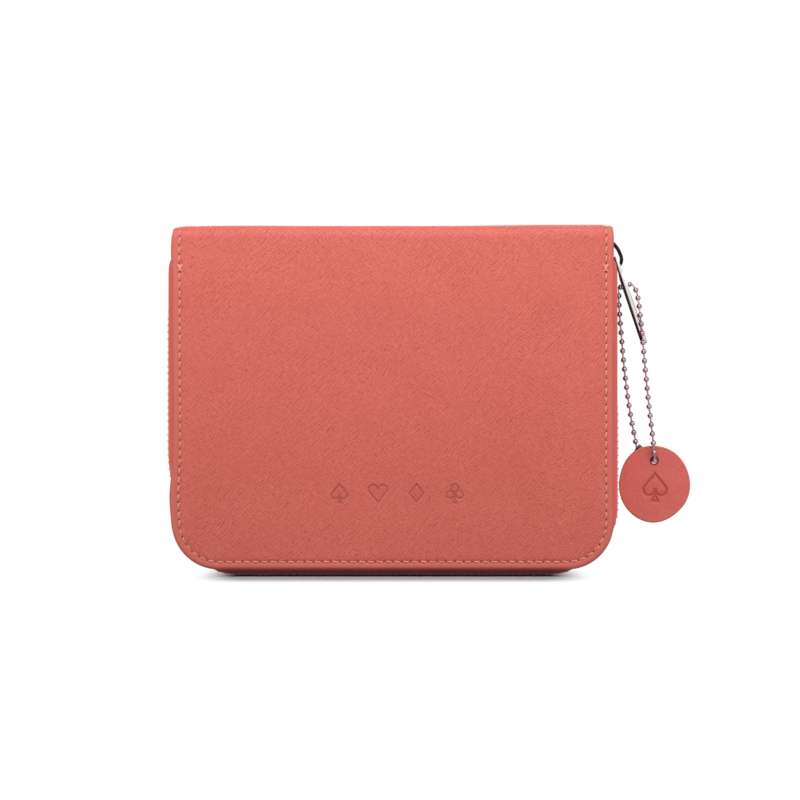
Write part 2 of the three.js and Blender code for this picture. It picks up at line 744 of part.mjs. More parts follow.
// The puller's directions: X out of its face, Y towards the back, Z up from its eye bar's middle.
// Its outline is cut from a bar that is thinner at the eye, with a round end there.
function zipPuller() {
  const [eye, half] = [pullerEyeWidth / 2, pullerWidth / 2];
  const outline = new THREE.Shape();
  outline.moveTo(-eye, pullerBar);
  outline.lineTo(-eye, -pullerWindowLength);
  outline.lineTo(-half, -pullerNeck);
  outline.absarc(0, half - pullerLength, half, Math.PI, 2 * Math.PI, false);
  outline.lineTo(half, -pullerNeck);
  outline.lineTo(eye, -pullerWindowLength);
  outline.lineTo(eye, pullerBar);
  outline.closePath();
  const window = new THREE.Path();
  const side = pullerWindowWidth / 2;
  window.moveTo(-side, -pullerBar);
  window.lineTo(side, -pullerBar);
  window.lineTo(side, side - pullerWindowLength);
  window.absarc(0, side - pullerWindowLength, side, 0, -Math.PI, true);
  window.closePath();
  const hole = new THREE.Path();
  hole.absarc(0, -pullerHolePlace, pullerHoleRadius, 0, 2 * Math.PI, false);
  outline.holes.push(window, hole);
  const start = new THREE.Vector3(-pullerThickness / 2, 0, 0);
  const plate = pushed(outline, pullerThickness, yWay, zWay, xWay, start, { curveSegments: holeSteps / 2 });
  const [thin, thick] = [pullerEyeThickness / 2, pullerThickness / 2];
  const profile = new THREE.Shape();
  profile.absarc(0, 0, thin, 0, Math.PI, false);
  profile.lineTo(-thin, thin - pullerWindowLength);
  profile.lineTo(-thick, -pullerNeck);
  profile.lineTo(-thick, -pullerLength - overrun);
  profile.lineTo(thick, -pullerLength - overrun);
  profile.lineTo(thick, -pullerNeck);
  profile.lineTo(thin, thin - pullerWindowLength);
  profile.closePath();
  const width = pullerWidth + 2 * overrun;
  const back = new THREE.Vector3(0, width / 2, 0);
  return common(plate, pushed(profile, width, xWay, zWay, yWay.clone().negate(), back));
}

// The connector's middle, from the middle of the puller's hole.
function connectorPlace() {
  const [across, upwards] = connectorMiddleShares.map((share) => share * chainDrop);
  const behind = tagThickness / 2 + connectorGap + connectorBore / 2 + connectorWall;
  return new THREE.Vector3(across, behind, upwards);
}

// The chain's loop, from the middle of the puller's hole, seen with +X to the right and +Z up.
function chainRoute() {
  const share = (values) => new THREE.Vector3(...values).multiplyScalar(chainDrop);
  const through = new THREE.Vector3(Math.cos(pullerTilt), 0, Math.sin(pullerTilt));
  const beside = pullerThickness / 2 + beadDiameter / 2;
  const tagHole = share(tagHoleShares);
  const tagBeside = new THREE.Vector3(0, tagThickness / 2, 0);
  const slope = new THREE.Vector3(...connectorSlopeShares).multiplyScalar(connectorLength / 2);
  const connector = connectorPlace();
  return new THREE.CatmullRomCurve3(
    [
      new THREE.Vector3(),
      through.clone().multiplyScalar(beside),
      ...frontStrandShares.map(share),
      tagHole.clone().sub(tagBeside),
      tagHole.clone().add(tagBeside),
      connector.clone().sub(slope),
      connector,
      connector.clone().add(slope),
      ...backStrandShares.map(share),
      through.clone().multiplyScalar(-beside),
    ],
    true,
    "centripetal",
  );
}

// A closed loop of beads joined by short links. It starts with a link in the middle of the puller's hole.
function beadChain() {
  const route = chainRoute();
  route.arcLengthDivisions = chainSamples;
  const count = Math.round(route.getLength() / beadPitch);
  const radius = beadDiameter / 2;
  const twist = new THREE.Vector3(...beadTwistShares);
  const profile = [
    [-beadEndShare * radius, linkDiameter / 2],
    ...beadRingShares.map(([along, out]) => [along * radius, out * radius]),
    [beadEndShare * radius, linkDiameter / 2],
  ];
  const rings = [];
  for (let bead = 0; bead < count; bead += 1) {
    const where = (bead + frontRowShiftShare) / count;
    const middle = route.getPointAt(where);
    const way = route.getTangentAt(where);
    const side = new THREE.Vector3().crossVectors(way, twist).normalize();
    const up = new THREE.Vector3().crossVectors(side, way);
    for (const [along, out] of profile) {
      rings.push(
        Array.from({ length: beadSides }, (_, k) => {
          const turn = (2 * Math.PI * k) / beadSides;
          return middle
            .clone()
            .addScaledVector(way, along)
            .addScaledVector(side, out * Math.cos(turn))
            .addScaledVector(up, out * Math.sin(turn));
        }),
      );
    }
  }
  return skin(rings);
}

// The open tube that holds the chain's two end beads.
function chainConnector() {
  const [inner, outer] = [connectorBore / 2, connectorBore / 2 + connectorWall];
  const [low, high] = [-connectorLength / 2, connectorLength / 2];
  const profile = [[inner, low], [outer, low], [outer, high], [inner, high], [inner, low]];
  return closedBody(new THREE.LatheGeometry(profile.map((p) => new THREE.Vector2(...p)), tubeSides));
}

// The tag hangs from its hole: X to the right, Z up, its faces to the front and the back.
function leatherTag() {
  const edge = Array.from({ length: tagSteps }, (_, step) => {
    const turn = (2 * Math.PI * step) / tagSteps;
    const ripple = tagRippleShares.reduce(
      (sum, share, k) => sum + share * Math.sin(tagRippleCounts[k] * turn + tagRippleTurns[k]),
      1,
    );
    const across = (tagWidth / 2 - tagEdge) * ripple;
    const upwards = (tagHeight / 2 - tagEdge) * ripple;
    return new THREE.Vector2(across * Math.cos(turn), upwards * Math.sin(turn) - tagHoleDrop);
  });
  const outline = new THREE.Shape(edge);
  const hole = new THREE.Path();
  hole.absarc(0, 0, tagHoleRadius + tagEdge, 0, 2 * Math.PI, false);
  outline.holes.push(hole);
  const options = {
    bevelEnabled: true,
    bevelSize: tagEdge,
    bevelThickness: tagEdge,
    bevelSegments: 1,
    curveSegments: holeSteps / 2,
  };
  const depth = tagThickness - 2 * tagEdge;
  return pushed(outline, depth, xWay, zWay, yWay, new THREE.Vector3(0, -depth / 2, 0), options);
}

const bridgeCase = new THREE.Group();

// Adds a named piece to a group.
function addPiece(group, name, body, finish) {
  const mesh = new THREE.Mesh(body, finish);
  mesh.name = name;
  group.add(mesh);
  return mesh;
}

function addLeaf(name, side) {
  addPiece(bridgeCase, name + "_cover_leather", coverLeather(side), finishes.coral);
  addPiece(bridgeCase, name + "_board", coverBoard(side), finishes.board);
  addPiece(bridgeCase, name + "_lining", coverLining(side), finishes.lining);
  addPiece(bridgeCase, name + "_zip_tape", zipTape(side), finishes.tape);
}

addLeaf("back", 1);
addLeaf("front", -1);
addPiece(bridgeCase, "back_zip_teeth", zipRow(1, -leftRowEnd, backRowEnd), finishes.metal);
addPiece(bridgeCase, "front_zip_teeth", zipRow(-1, -leftRowEnd, frontRowEnd), finishes.metal);
addPiece(bridgeCase, "back_top_stop", topStop(1, sliderRun + stopLength), finishes.metal);
addPiece(bridgeCase, "front_top_stop", topStop(-1, frontStopStart), finishes.metal);
addPiece(bridgeCase, "zip_bottom_stop", zipBottomStop(), finishes.metal);
addPiece(bridgeCase, "deck_pocket_left", deckPocket(-1), finishes.coral);
addPiece(bridgeCase, "deck_pocket_right", deckPocket(1), finishes.coral);
addPiece(bridgeCase, "score_pad_pocket", scorePadPocket(), finishes.coral);
addPiece(bridgeCase, "pencil_loop", pencilLoop(), finishes.coral);
addPiece(bridgeCase, "spine_leather", spineLeather(), finishes.coral);
addPiece(bridgeCase, "spine_board", spineBoard(), finishes.board);
addPiece(bridgeCase, "spine_lining", spineLining(), finishes.lining);

// The slider rides on the right leg, and the puller hangs in its bail, tilted out from upright.
const sliderPlace = chainPlace(sliderRun);
const slider = new THREE.Group();
slider.position.copy(sliderPlace.point);
slider.rotation.y = -rightLeg.lean;
bridgeCase.add(slider);
addPiece(slider, "slider_outer_plate", sliderPlate(1), finishes.metal);
addPiece(slider, "slider_inner_plate", sliderPlate(-1), finishes.metal);
addPiece(slider, "slider_bail", sliderBail(), finishes.metal);
const pullerMesh = addPiece(slider, "zip_puller", zipPuller(), finishes.metal);
pullerMesh.position.copy(bailPoint(pullerPivotShares));
pullerMesh.rotation.y = rightLeg.lean - pullerTilt;

// The chain hangs from the puller's hole, and carries its connector and the tag.
slider.updateMatrixWorld(true);
const pullerHole = pullerMesh.localToWorld(new THREE.Vector3(0, 0, -pullerHolePlace));
const chain = new THREE.Group();
chain.position.copy(pullerHole);
bridgeCase.add(chain);
addPiece(chain, "bead_chain", beadChain(), finishes.metal);
const connectorMesh = addPiece(chain, "chain_connector", chainConnector(), finishes.metal);
connectorMesh.position.copy(connectorPlace());
connectorMesh.quaternion.setFromUnitVectors(yWay, new THREE.Vector3(...connectorSlopeShares).normalize());
const tagMesh = addPiece(chain, "leather_tag", leatherTag(), finishes.coral);
tagMesh.position.set(...tagHoleShares).multiplyScalar(chainDrop);

export default bridgeCase;
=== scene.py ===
"""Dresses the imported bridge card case: coral leather covers over stiff boards, their seam, the zip
with its slider, the puller on its bead chain, and the leather tag. Lengths are in millimetres until
a mesh is made, and the axes are the frame's: X to the right, Y from the front to the back, Z up."""

import logging
import math
from dataclasses import dataclass
from enum import Enum
from typing import Sequence, Union

import bmesh
import bpy
import numpy as np
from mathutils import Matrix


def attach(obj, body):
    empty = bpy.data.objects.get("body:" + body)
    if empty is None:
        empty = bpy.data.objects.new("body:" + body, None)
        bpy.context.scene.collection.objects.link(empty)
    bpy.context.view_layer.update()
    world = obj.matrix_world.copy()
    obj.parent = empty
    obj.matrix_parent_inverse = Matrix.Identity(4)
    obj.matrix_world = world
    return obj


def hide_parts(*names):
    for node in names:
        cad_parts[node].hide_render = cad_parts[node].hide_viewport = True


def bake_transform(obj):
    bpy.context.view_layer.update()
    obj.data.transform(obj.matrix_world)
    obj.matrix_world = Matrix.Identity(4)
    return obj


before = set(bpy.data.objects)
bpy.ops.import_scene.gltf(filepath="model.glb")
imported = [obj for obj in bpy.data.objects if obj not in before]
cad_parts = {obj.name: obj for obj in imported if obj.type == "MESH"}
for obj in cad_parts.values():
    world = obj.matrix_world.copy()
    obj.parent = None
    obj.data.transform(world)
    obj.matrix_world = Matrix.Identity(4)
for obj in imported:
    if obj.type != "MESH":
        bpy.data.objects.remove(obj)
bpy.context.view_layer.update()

METRE = 0.001
QUARTER = math.pi / 2
ROUND = 2 * math.pi
LOG = logging.getLogger("bridge_case")

# The seam's distance from the cover's edge, its stitch, and how far the puller leans
SEAM_INSET = 2.8
STITCH = 3.2
LEAN = math.radians(18.6)

Array = np.ndarray
Place = tuple[float, float, float]
Colour = tuple[float, float, float]
Piece = bpy.types.Object
Material = bpy.types.Material


class Side(Enum):
    """The two leaves, with the way each one faces along Y."""

    FRONT = -1
    BACK = 1

    @property
    def body(self) -> str:
        """The CAD body of this leaf."""
        return self.name.lower()


class Suit(Enum):
    """The four suits that can be pressed into leather."""

    SPADE = "spade"
    HEART = "heart"
    DIAMOND = "diamond"
    CLUB = "club"


# Arithmetic on whole arrays


def eased(values: Array, low: float, high: float) -> Array:
    """An S curve from 0 at low to 1 at high: 3t^2 - 2t^3 of the clipped share."""
    share = np.clip((np.asarray(values, float) - low) / (high - low), 0, 1)
    return share * share * (3 - 2 * share)


def bell(values: Array, middle: float, width: float) -> Array:
    """A bell curve of height 1: e to the minus square of the distance in widths."""
    return np.exp(-(((np.asarray(values, float) - middle) / width) ** 2))


def bells(values: Array, terms: Sequence[tuple[float, float, float]]) -> Array:
    """A sum of bell curves, each given by its height, middle and width."""
    return sum(height * bell(values, middle, width) for height, middle, width in terms)


def steps(low: float, high: float, pitch: float) -> Array:
    """Evenly spaced values from low to high, about a pitch apart, both ends in."""
    return np.linspace(low, high, max(1, round(abs(high - low) / pitch)) + 1)


def graded(start: float, *spans: tuple[float, float]) -> Array:
    """Evenly stepped spans laid end to end.

    Args:
        start: Where the first span starts.
        spans: Where each span ends, and its pitch.

    Returns:
        Every place once, in order.
    """
    places = [np.array([start])]
    for end, pitch in spans:
        places.append(steps(places[-1][-1], end, pitch)[1:])
    return np.concatenate(places)


def ripple(first: Array, second: Array, seed: float) -> Array:
    """A gentle unevenness between -1 and 1: the mean of three crossed sine waves.

    Args:
        first: First coordinates.
        second: Second coordinates.
        seed: Turns the waves, so that two surfaces differ.

    Returns:
        The unevenness at each point.
    """
    return (
        np.sin(first / 9.5 + 1.7 * seed + 0.6 * np.sin(second / 13))
        + np.sin(second / 11.3 + 2.9 * seed + 0.5 * np.sin(first / 8.1))
        + np.sin((first + second) / 6.7 + 4.1 * seed)
    ) / 3


def unit(vectors: Array) -> Array:
    """Vectors brought to length 1 along the last axis."""
    return vectors / np.linalg.norm(vectors, axis=-1, keepdims=True)


def joined(*parts: Array) -> Array:
    """Coordinates spread to one shape and stacked along a new last axis."""
    return np.stack(np.broadcast_arrays(*parts), -1)


def beside(ways: Array) -> Array:
    """Flat directions turned a quarter to the left."""
    return joined(-ways[..., 1], ways[..., 0])


def lengths(points: Array) -> Array:
    """The distance along each line of points from its first point: the gaps summed up."""
    gaps = np.linalg.norm(np.diff(points, axis=-2), axis=-1)
    return np.concatenate([0 * gaps[..., :1], np.cumsum(gaps, -1)], -1)


def looked_up(where: Array, length: Array, points: Array) -> Array:
    """The points of a line at given distances along it."""
    return joined(*(np.interp(where, length, column) for column in points.T))


def circle(count: int) -> Array:
    """Points round a circle of radius 1."""
    turn = np.arange(count) * ROUND / count
    return joined(np.cos(turn), np.sin(turn))


def rounded(half: float, front: float, radius: float, count: int) -> Array:
    """A corner of a section as a quarter circle, from its side at half to its front."""
    turn = np.linspace(0, QUARTER, count)
    return joined(half - radius + radius * np.cos(turn), front - radius + radius * np.sin(turn))


def disc(x: Array, z: Array, middle: tuple[float, float], radius: float) -> Array:
    """How far points lie inside a disc: its radius less their distance from its middle."""
    return radius - np.hypot(x - middle[0], z - middle[1])


def suit_depth(suit: Suit, across: Array, upwards: Array) -> Array:
    """How far points lie inside a suit's outline, in the mark's half heights.

    Discs are radius minus distance, straight sides are half planes, a union is the larger of two
    and an overlap the smaller. A spade is a heart turned over on a flared stem.

    Args:
        suit: Which mark.
        across: Places to the right of its middle, in half heights.
        upwards: Places above its middle, in half heights.

    Returns:
        The distance to the outline, positive inside.
    """
    x, z = np.abs(across), upwards
    stem = np.minimum(z + 1, 0.1 + 0.45 * np.clip(-0.5 - z, 0, 1) ** 1.4 - x)
    stem = np.minimum(stem, 0.1 - z)
    if suit is Suit.DIAMOND:
        return (1 - x / 0.76 - np.abs(z)) * 0.6
    if suit is Suit.CLUB:
        lobes = np.maximum(disc(x, z, (0, 0.52), 0.42), disc(x, z, (0.47, -0.14), 0.42))
        return np.maximum(np.maximum(lobes, disc(x, z, (0, 0.1), 0.2)), stem)
    heart = suit is Suit.HEART
    size = 1 if heart else 0.86
    x, z = x / size, (z if heart else 0.14 - z) / size
    point = np.minimum(0.632 * (z + 1) - 0.775 * x, 1.373 - 0.632 * x - 0.775 * (z + 1))
    whole = np.maximum(disc(x, z, (0.48, 0.38), 0.5), np.minimum(point, 0.42 - z)) * size
    return whole if heart else np.maximum(whole, stem)


# Meshes


class Draft:
    """A mesh being put together from grids of points, with values kept at each point."""

    def __init__(self) -> None:
        """Starts empty."""
        self.points: list[Array] = []
        self.faces: list[Array] = []
        self.wide: list[list[int]] = []
        self.facts: dict[str, list[Array]] = {}
        self.count = 0

    def add(self, points: Array, facts: dict[str, Array]) -> Array:
        """Adds points with their named values.

        Args:
            points: Points in any arrangement, by X, Y, Z.
            facts: Their values, which are spread to them.

        Returns:
            The points' numbers, in the same arrangement.
        """
        index = self.count + np.arange(points[..., 0].size).reshape(points.shape[:-1])
        self.count += index.size
        self.points.append(points.reshape(-1, 3))
        for name, values in facts.items():
            spread = np.broadcast_to(values, points.shape).reshape(-1, 3)
            self.facts.setdefault(name, []).append(spread)
        return index

    def band(self, first: Array, second: Array) -> None:
        """Adds quads between two equal runs, or stacks of runs, of point numbers."""
        quads = [first[..., :-1], first[..., 1:], second[..., 1:], second[..., :-1]]
        self.faces.append(np.stack(quads, -1).reshape(-1, 4))

    def cap(self, loop: Sequence[int]) -> None:
        """Adds one face with many corners."""
        self.wide.append([int(i) for i in loop])

    def grid(self, points: Array, closed: bool = False, **facts: Array) -> Array:
        """Adds a grid of points and a quad between each four neighbours.

        Args:
            points: Rows by columns by X, Y, Z.
            closed: Whether the last column meets the first.
            facts: Named values for the points, rows by columns by three.

        Returns:
            The points' numbers, rows by columns.
        """
        index = self.add(points, facts)
        around = np.hstack([index, index[:, :1]]) if closed else index
        self.band(around[:-1], around[1:])
        return index

    def hoop(self, rings: Array, **facts: Array) -> None:
        """Adds rings joined one to the next, and the last one to the first."""
        ends = self.grid(rings, closed=True, **facts)[[-1, 0]]
        self.band(*np.hstack([ends, ends[:, :1]]))

    def sheet(self, shown: Array, hidden: Array) -> None:
        """Adds a closed sheet: the grids of its two faces, joined round their edge.

        Args:
            shown: The grid of the face that shows.
            hidden: The grid of the other face, point for point.
        """
        index = self.grid(np.concatenate([shown, hidden[:, ::-1]], 1), closed=True)
        width = shown.shape[1]
        for row in (0, -1):
            self.band(index[row, :width], index[row, width:][::-1])

    def copies(self, points: Array, **facts: Array) -> None:
        """Adds many equal closed tubes at once, each shut at both ends by a face.

        Args:
            points: Copies by rows by columns by X, Y, Z. Each row is a ring.
            facts: Named values, shaped like the points.
        """
        index = self.add(points, facts)
        around = np.concatenate([index, index[..., :1]], -1)
        self.band(around[:, :-1], around[:, 1:])
        self.wide += index[:, 0, ::-1].tolist() + index[:, -1].tolist()

    def mesh(self, name: str, sharp: float) -> bpy.types.Mesh:
        """Makes the mesh in metres: doubles merged, faces outwards, shaded smooth up to an angle.

        Args:
            name: The mesh's name.
            sharp: Edges that turn by more degrees than this stay sharp.

        Returns:
            The finished mesh.
        """
        points = np.concatenate(self.points) * METRE
        quads = np.concatenate(self.faces)
        loops = np.concatenate([quads.ravel(), np.array(sum(self.wide, []), int)])
        sizes = np.array([4] * len(quads) + [len(loop) for loop in self.wide], int)
        made = bpy.data.meshes.new(name)
        made.vertices.add(len(points))
        made.vertices.foreach_set("co", points.ravel().astype(np.float32))
        made.loops.add(len(loops))
        made.loops.foreach_set("vertex_index", loops.astype(np.int32))
        made.polygons.add(len(sizes))
        starts = np.concatenate([[0], np.cumsum(sizes)[:-1]])
        made.polygons.foreach_set("loop_start", starts.astype(np.int32))
        made.update(calc_edges=True)
        for fact, parts in self.facts.items():
            layer = made.attributes.new(fact, "FLOAT_VECTOR", "POINT")
            layer.data.foreach_set("vector", np.concatenate(parts).ravel().astype(np.float32))
        tidy_mesh(made)
        made.set_sharp_from_angle(angle=math.radians(sharp))
        return made

    def piece(self, name: str, material: Material, slot: str | None = None, sharp: float = 180.0) -> Piece:
        """Makes the mesh, and puts it into the scene in its finish."""
        return placed(name, self.mesh(name, sharp), material)


def tidy_mesh(mesh: bpy.types.Mesh, flat: float = 0.0) -> None:
    """Merges a mesh's doubles, turns its faces outwards and shades it smooth.

    Args:
        mesh: The mesh, changed in place.
        flat: If more than 0, faces that turn by fewer degrees than this are joined.
    """
    work = bmesh.new()
    work.from_mesh(mesh)
    bmesh.ops.remove_doubles(work, verts=work.verts, dist=2e-7)
    bmesh.ops.dissolve_degenerate(work, edges=work.edges, dist=1e-7)
    if flat:
        limit = math.radians(flat)
        bmesh.ops.dissolve_limit(work, angle_limit=limit, verts=work.verts, edges=work.edges)
    bmesh.ops.recalc_face_normals(work, faces=work.faces)
    work.to_mesh(mesh)
    work.free()
    mesh.update()
    mesh.polygons.foreach_set("use_smooth", np.ones(len(mesh.polygons), bool))


def swept(places: Array, first: Array, second: Array, profile: Array) -> Array:
    """A section carried along a path: place plus first way times A plus second way times B.

    Args:
        places: Points of the path, by X, Y, Z.
        first: The section's first direction at each point.
        second: The section's second direction, at each point or everywhere.
        profile: The section's A and B, either one list or one for each place.

    Returns:
        Places by section points by X, Y, Z.
    """
    second = np.broadcast_to(second, places.shape)
    profile = np.broadcast_to(profile, (len(places), *profile.shape[-2:]))
    return places[:, None] + profile[..., :1] * first[:, None] + profile[..., 1:] * second[:, None]


def placed(name: str, mesh: bpy.types.Mesh, material: Material) -> Piece:
    """Puts a finished mesh into the scene and dresses it.

    Args:
        name: The piece's name.
        mesh: Its mesh, which already stands where the piece is.
        material: Its finish.

    Returns:
        The piece.
    """
    piece = bpy.data.objects.new(name, mesh)
    bpy.context.scene.collection.objects.link(piece)
    piece.data.materials.clear()
    piece.data.materials.append(material)
    LOG.info("%s: %d faces", name, len(mesh.polygons))
    return piece


# Finishes


def shade(*seen: float) -> Colour:
    """A colour given from 0 to 255 as seen, in the linear light that shaders use."""
    parts = [part / 255 for part in seen]
    return tuple(p / 12.92 if p <= 0.04045 else ((p + 0.055) / 1.055) ** 2.4 for p in parts)


@dataclass(frozen=True)
class Wire:
    """One output of a node, which can stand in a sum as a number does."""

    bench: "Bench"
    socket: bpy.types.NodeSocket

    def __add__(self, other: "Value") -> "Wire":
        """This plus other."""
        return self.bench.maths("ADD", self, other)

    def __sub__(self, other: "Value") -> "Wire":
        """This less other."""
        return self.bench.maths("SUBTRACT", self, other)

    def __rsub__(self, other: "Value") -> "Wire":
        """Other less this."""
        return self.bench.maths("SUBTRACT", other, self)

    def __mul__(self, other: "Value") -> "Wire":
        """This times other."""
        return self.bench.maths("MULTIPLY", self, other)

    def __truediv__(self, other: "Value") -> "Wire":
        """This divided by other."""
        return self.bench.maths("DIVIDE", self, other)

    def __pow__(self, other: "Value") -> "Wire":
        """This to the power of other."""
        return self.bench.maths("POWER", self, other)

    __radd__ = __add__
    __rmul__ = __mul__


Value = Union[Wire, float, tuple]


class Bench:
    """Where one material, or the world, is made."""

    def __init__(self, name: str, world: bool = False) -> None:
        """Starts a material or a world with no nodes.

        Args:
            name: Its name.
            world: Whether it is a world.
        """
        self.owner = (bpy.data.worlds if world else bpy.data.materials).new(name)
        self.owner.use_nodes = True
        self.nodes = self.owner.node_tree.nodes
        self.links = self.owner.node_tree.links
        self.nodes.clear()

    def node(
        self, kind: str, settings: dict | None = None, out: str | int = 0, **sockets: Value
    ) -> Wire:
        """Makes a node: its settings first, then its sockets.

        Args:
            kind: The node's type.
            settings: Its own settings.
            out: Which output is wanted.
            sockets: Values or links by socket name, or by number as s0, s1 and so on. An
                underscore stands for a space.

        Returns:
            The wanted output.
        """
        made = self.nodes.new(kind)
        for name, value in (settings or {}).items():
            setattr(made, name, value)
        for name, value in sockets.items():
            numbered = name[0] == "s" and name[1:].isdigit()
            target = made.inputs[int(name[1:]) if numbered else name.replace("_", " ")]
            if isinstance(value, Wire):
                self.links.new(value.socket, target)
            elif isinstance(value, tuple) and target.type == "RGBA":
                target.default_value = (*value, 1)
            else:
                target.default_value = value
        return Wire(self, made.outputs[out] if len(made.outputs) else None)

    def maths(self, operation: str, *values: Value) -> Wire:
        """A sum on numbers."""
        sockets = {f"s{i}": value for i, value in enumerate(values)}
        return self.node("ShaderNodeMath", {"operation": operation}, **sockets)

    def vector(self, operation: str, *values: Value, out: int = 0) -> Wire:
        """A sum on vectors."""
        sockets = {f"s{i}": value for i, value in enumerate(values)}
        return self.node("ShaderNodeVectorMath", {"operation": operation}, out, **sockets)

    def fact(self, name: str) -> Wire:
        """A vector kept at each point of the mesh."""
        return self.node("ShaderNodeAttribute", {"attribute_name": name}, "Vector")

    def metres(self) -> Wire:
        """The point's place in metres."""
        return self.node("ShaderNodeTexCoord", out="Object")

    def place(self) -> Wire:
        """The point's place in millimetres."""
        return self.vector("MULTIPLY", self.metres(), (1 / METRE,) * 3)

    def parts(self, vector: Wire) -> tuple[Wire, ...]:
        """A vector's three numbers."""
        split = self.node("ShaderNodeSeparateXYZ", s0=vector).socket.node
        return tuple(Wire(self, out) for out in split.outputs)

    def eased(self, value: Wire, low: float, high: float) -> Wire:
        """An S curve from 0 at low to 1 at high."""
        kind = {"interpolation_type": "SMOOTHSTEP"}
        return self.node("ShaderNodeMapRange", kind, Value=value, From_Min=low, From_Max=high)

    def mix(self, factor: Value, first: Value, second: Value) -> Wire:
        """A colour between two."""
        return self.node("ShaderNodeMix", {"data_type": "RGBA"}, 2, s0=factor, s6=first, s7=second)

    def noise(self, place: Wire, scale: float, detail: float = 2.0, out: int = 0) -> Wire:
        """Soft random clouds, with scale clouds to a unit of place. Output 1 is a random colour."""
        return self.node("ShaderNodeTexNoise", None, out, Vector=place, Scale=scale, Detail=detail)

    def turned(self, place: Wire, degrees: float, stretch: float) -> Wire:
        """Place seen along a direction, so that a pattern on it is drawn out that way."""
        turn = {"Rotation": (0.0, 0.0, math.radians(degrees)), "Scale": (stretch, 1.0, 1.0)}
        return self.node("ShaderNodeMapping", {"vector_type": "TEXTURE"}, Vector=place, **turn)

    def cells(self, place: Wire, scale: float) -> Wire:
        """The distance to the nearest border between random cells."""
        kind = {"feature": "DISTANCE_TO_EDGE", "voronoi_dimensions": "2D"}
        return self.node("ShaderNodeTexVoronoi", kind, Vector=place, Scale=scale)

    def finish(self, height: Wire, depth: float, **sockets: Value) -> Material:
        """Ends the material in one surface shader.

        Args:
            height: The relief from 0 to 1.
            depth: How deep that relief is, in millimetres.
            sockets: The surface shader's sockets.

        Returns:
            The finished material.
        """
        relief = self.node("ShaderNodeBump", Strength=1.0, Distance=depth * METRE, Height=height)
        surface = self.node("ShaderNodeBsdfPrincipled", Normal=relief, **sockets)
        return self.end(surface)

    def end(self, surface: Wire, kind: str = "ShaderNodeOutputMaterial") -> "Material | bpy.types.World":
        """Leads a shader to the output, and gives the material or world."""
        self.node(kind, Surface=surface)
        return self.owner


@dataclass(frozen=True)
class PebbledLeather:
    """Drum grained leather: an irregular net of fine creases that runs up to the right."""

    name: str
    body: Colour
    pebble: Colour
    crease: Colour
    hole: Colour
    edge: Colour
    rim: Colour
    pitch: float = 0.86
    lean: float = 43.0
    cross: float = 78.0
    flow: float = 5.0
    relief: float = 0.045
    hole_radius: float = 0.3

    def make(self) -> Material:
        """Makes the material. Its pattern lies on the unrolled cover, in the points' plan.

        Returns:
            The finished material.
        """
        bench = Bench(self.name)
        plan = bench.fact("plan")
        net, fine = self.net(bench, plan), bench.noise(plan, 3.2, 3.0)
        run, inset, press = bench.parts(bench.fact("seam"))
        smooth_rim = 1 - bench.eased(inset, 1.9, 3.0)
        plain = net + (1 - net) * smooth_rim * 0.6
        patches = bench.eased(bench.noise(plan, 0.055, 3.0), 0.3, 0.7)
        tone = bench.mix(patches * 0.45, self.body, self.pebble)
        tone = bench.mix(bench.eased(plain + fine * 0.5, 0.35, 1.25), self.crease, tone)
        tone = bench.mix(smooth_rim * 0.5, tone, self.rim)
        tone = bench.mix(bench.eased(inset, 0.9, 0.1) * 0.5, tone, self.edge)
        tone = bench.mix(press * 0.42, tone, self.hole)
        # Painted shade: a dark disc at each needle hole along the seam
        beside_hole = bench.maths("PINGPONG", run, STITCH / 2)
        away = bench.maths("SQRT", beside_hole**2.0 + (inset - SEAM_INSET) ** 2.0)
        hole = 1 - bench.eased(away, self.hole_radius * 0.7, self.hole_radius * 1.25)
        tone = bench.mix(hole, tone, self.hole)
        rough = 0.6 - plain * 0.1 + fine * 0.06
        height = plain * 0.85 + fine * 0.15
        look = {"Base_Color": tone, "Roughness": rough, "IOR": 1.45, "Sheen_Weight": 0.06}
        return bench.finish(height, self.relief, **look)

    def net(self, bench: Bench, plan: Wire) -> Wire:
        """The grain: rising creases, fainter falling ones and cell borders, on a drifting plan.

        Args:
            bench: Where the nodes go.
            plan: The place on the unrolled cover.

        Returns:
            From 1 on the leather to 0 in a crease.
        """
        drift = bench.noise(plan, 0.045, 1.0, 1)
        flow = bench.vector("MULTIPLY_ADD", drift, (self.flow, self.flow, 0.0), plan)
        rising = self.creases(bench, flow, self.lean, self.pitch, 0.3)
        falling = self.creases(bench, flow, self.lean - self.cross, self.pitch * 1.15, 0.42)
        borders = bench.cells(bench.turned(flow, self.lean, 1.6), 1 / self.pitch)
        cells = 1 - bench.eased(borders, 0.0, 0.17)
        patchy = bench.eased(bench.noise(plan, 0.05, 2.0), 0.35, 0.65)
        lines = rising * (0.5 + 0.3 * patchy) + falling * (0.55 - 0.25 * patchy) + cells * 0.35
        return 1 - bench.maths("MINIMUM", lines, 1.0)

    @staticmethod
    def creases(bench: Bench, place: Wire, degrees: float, pitch: float, gap: float) -> Wire:
        """Wavy creases at a pitch, each broken and fading as drawn-out clouds pass over it.

        A crease runs where the distance across the direction, shifted by the clouds, is a whole
        number of pitches.

        Args:
            bench: Where the nodes go.
            place: The place on the leather.
            degrees: The way that they run.
            pitch: The distance between them.
            gap: How much of their length is bare, from 0 to 1.

        Returns:
            From 0 on the leather to 1 in a crease.
        """
        _, across, _ = bench.parts(bench.turned(place, degrees, 1.0))
        shift = bench.noise(bench.turned(place, degrees, 1.7), 0.55, 2.0)
        row = bench.maths("PINGPONG", across / pitch + shift * 2.3, 0.5)
        broken = bench.noise(bench.turned(place, degrees, 2.0), 1.1, 1.0)
        return (1 - bench.eased(row, 0.0, 0.3)) * bench.eased(broken, gap, gap + 0.22)


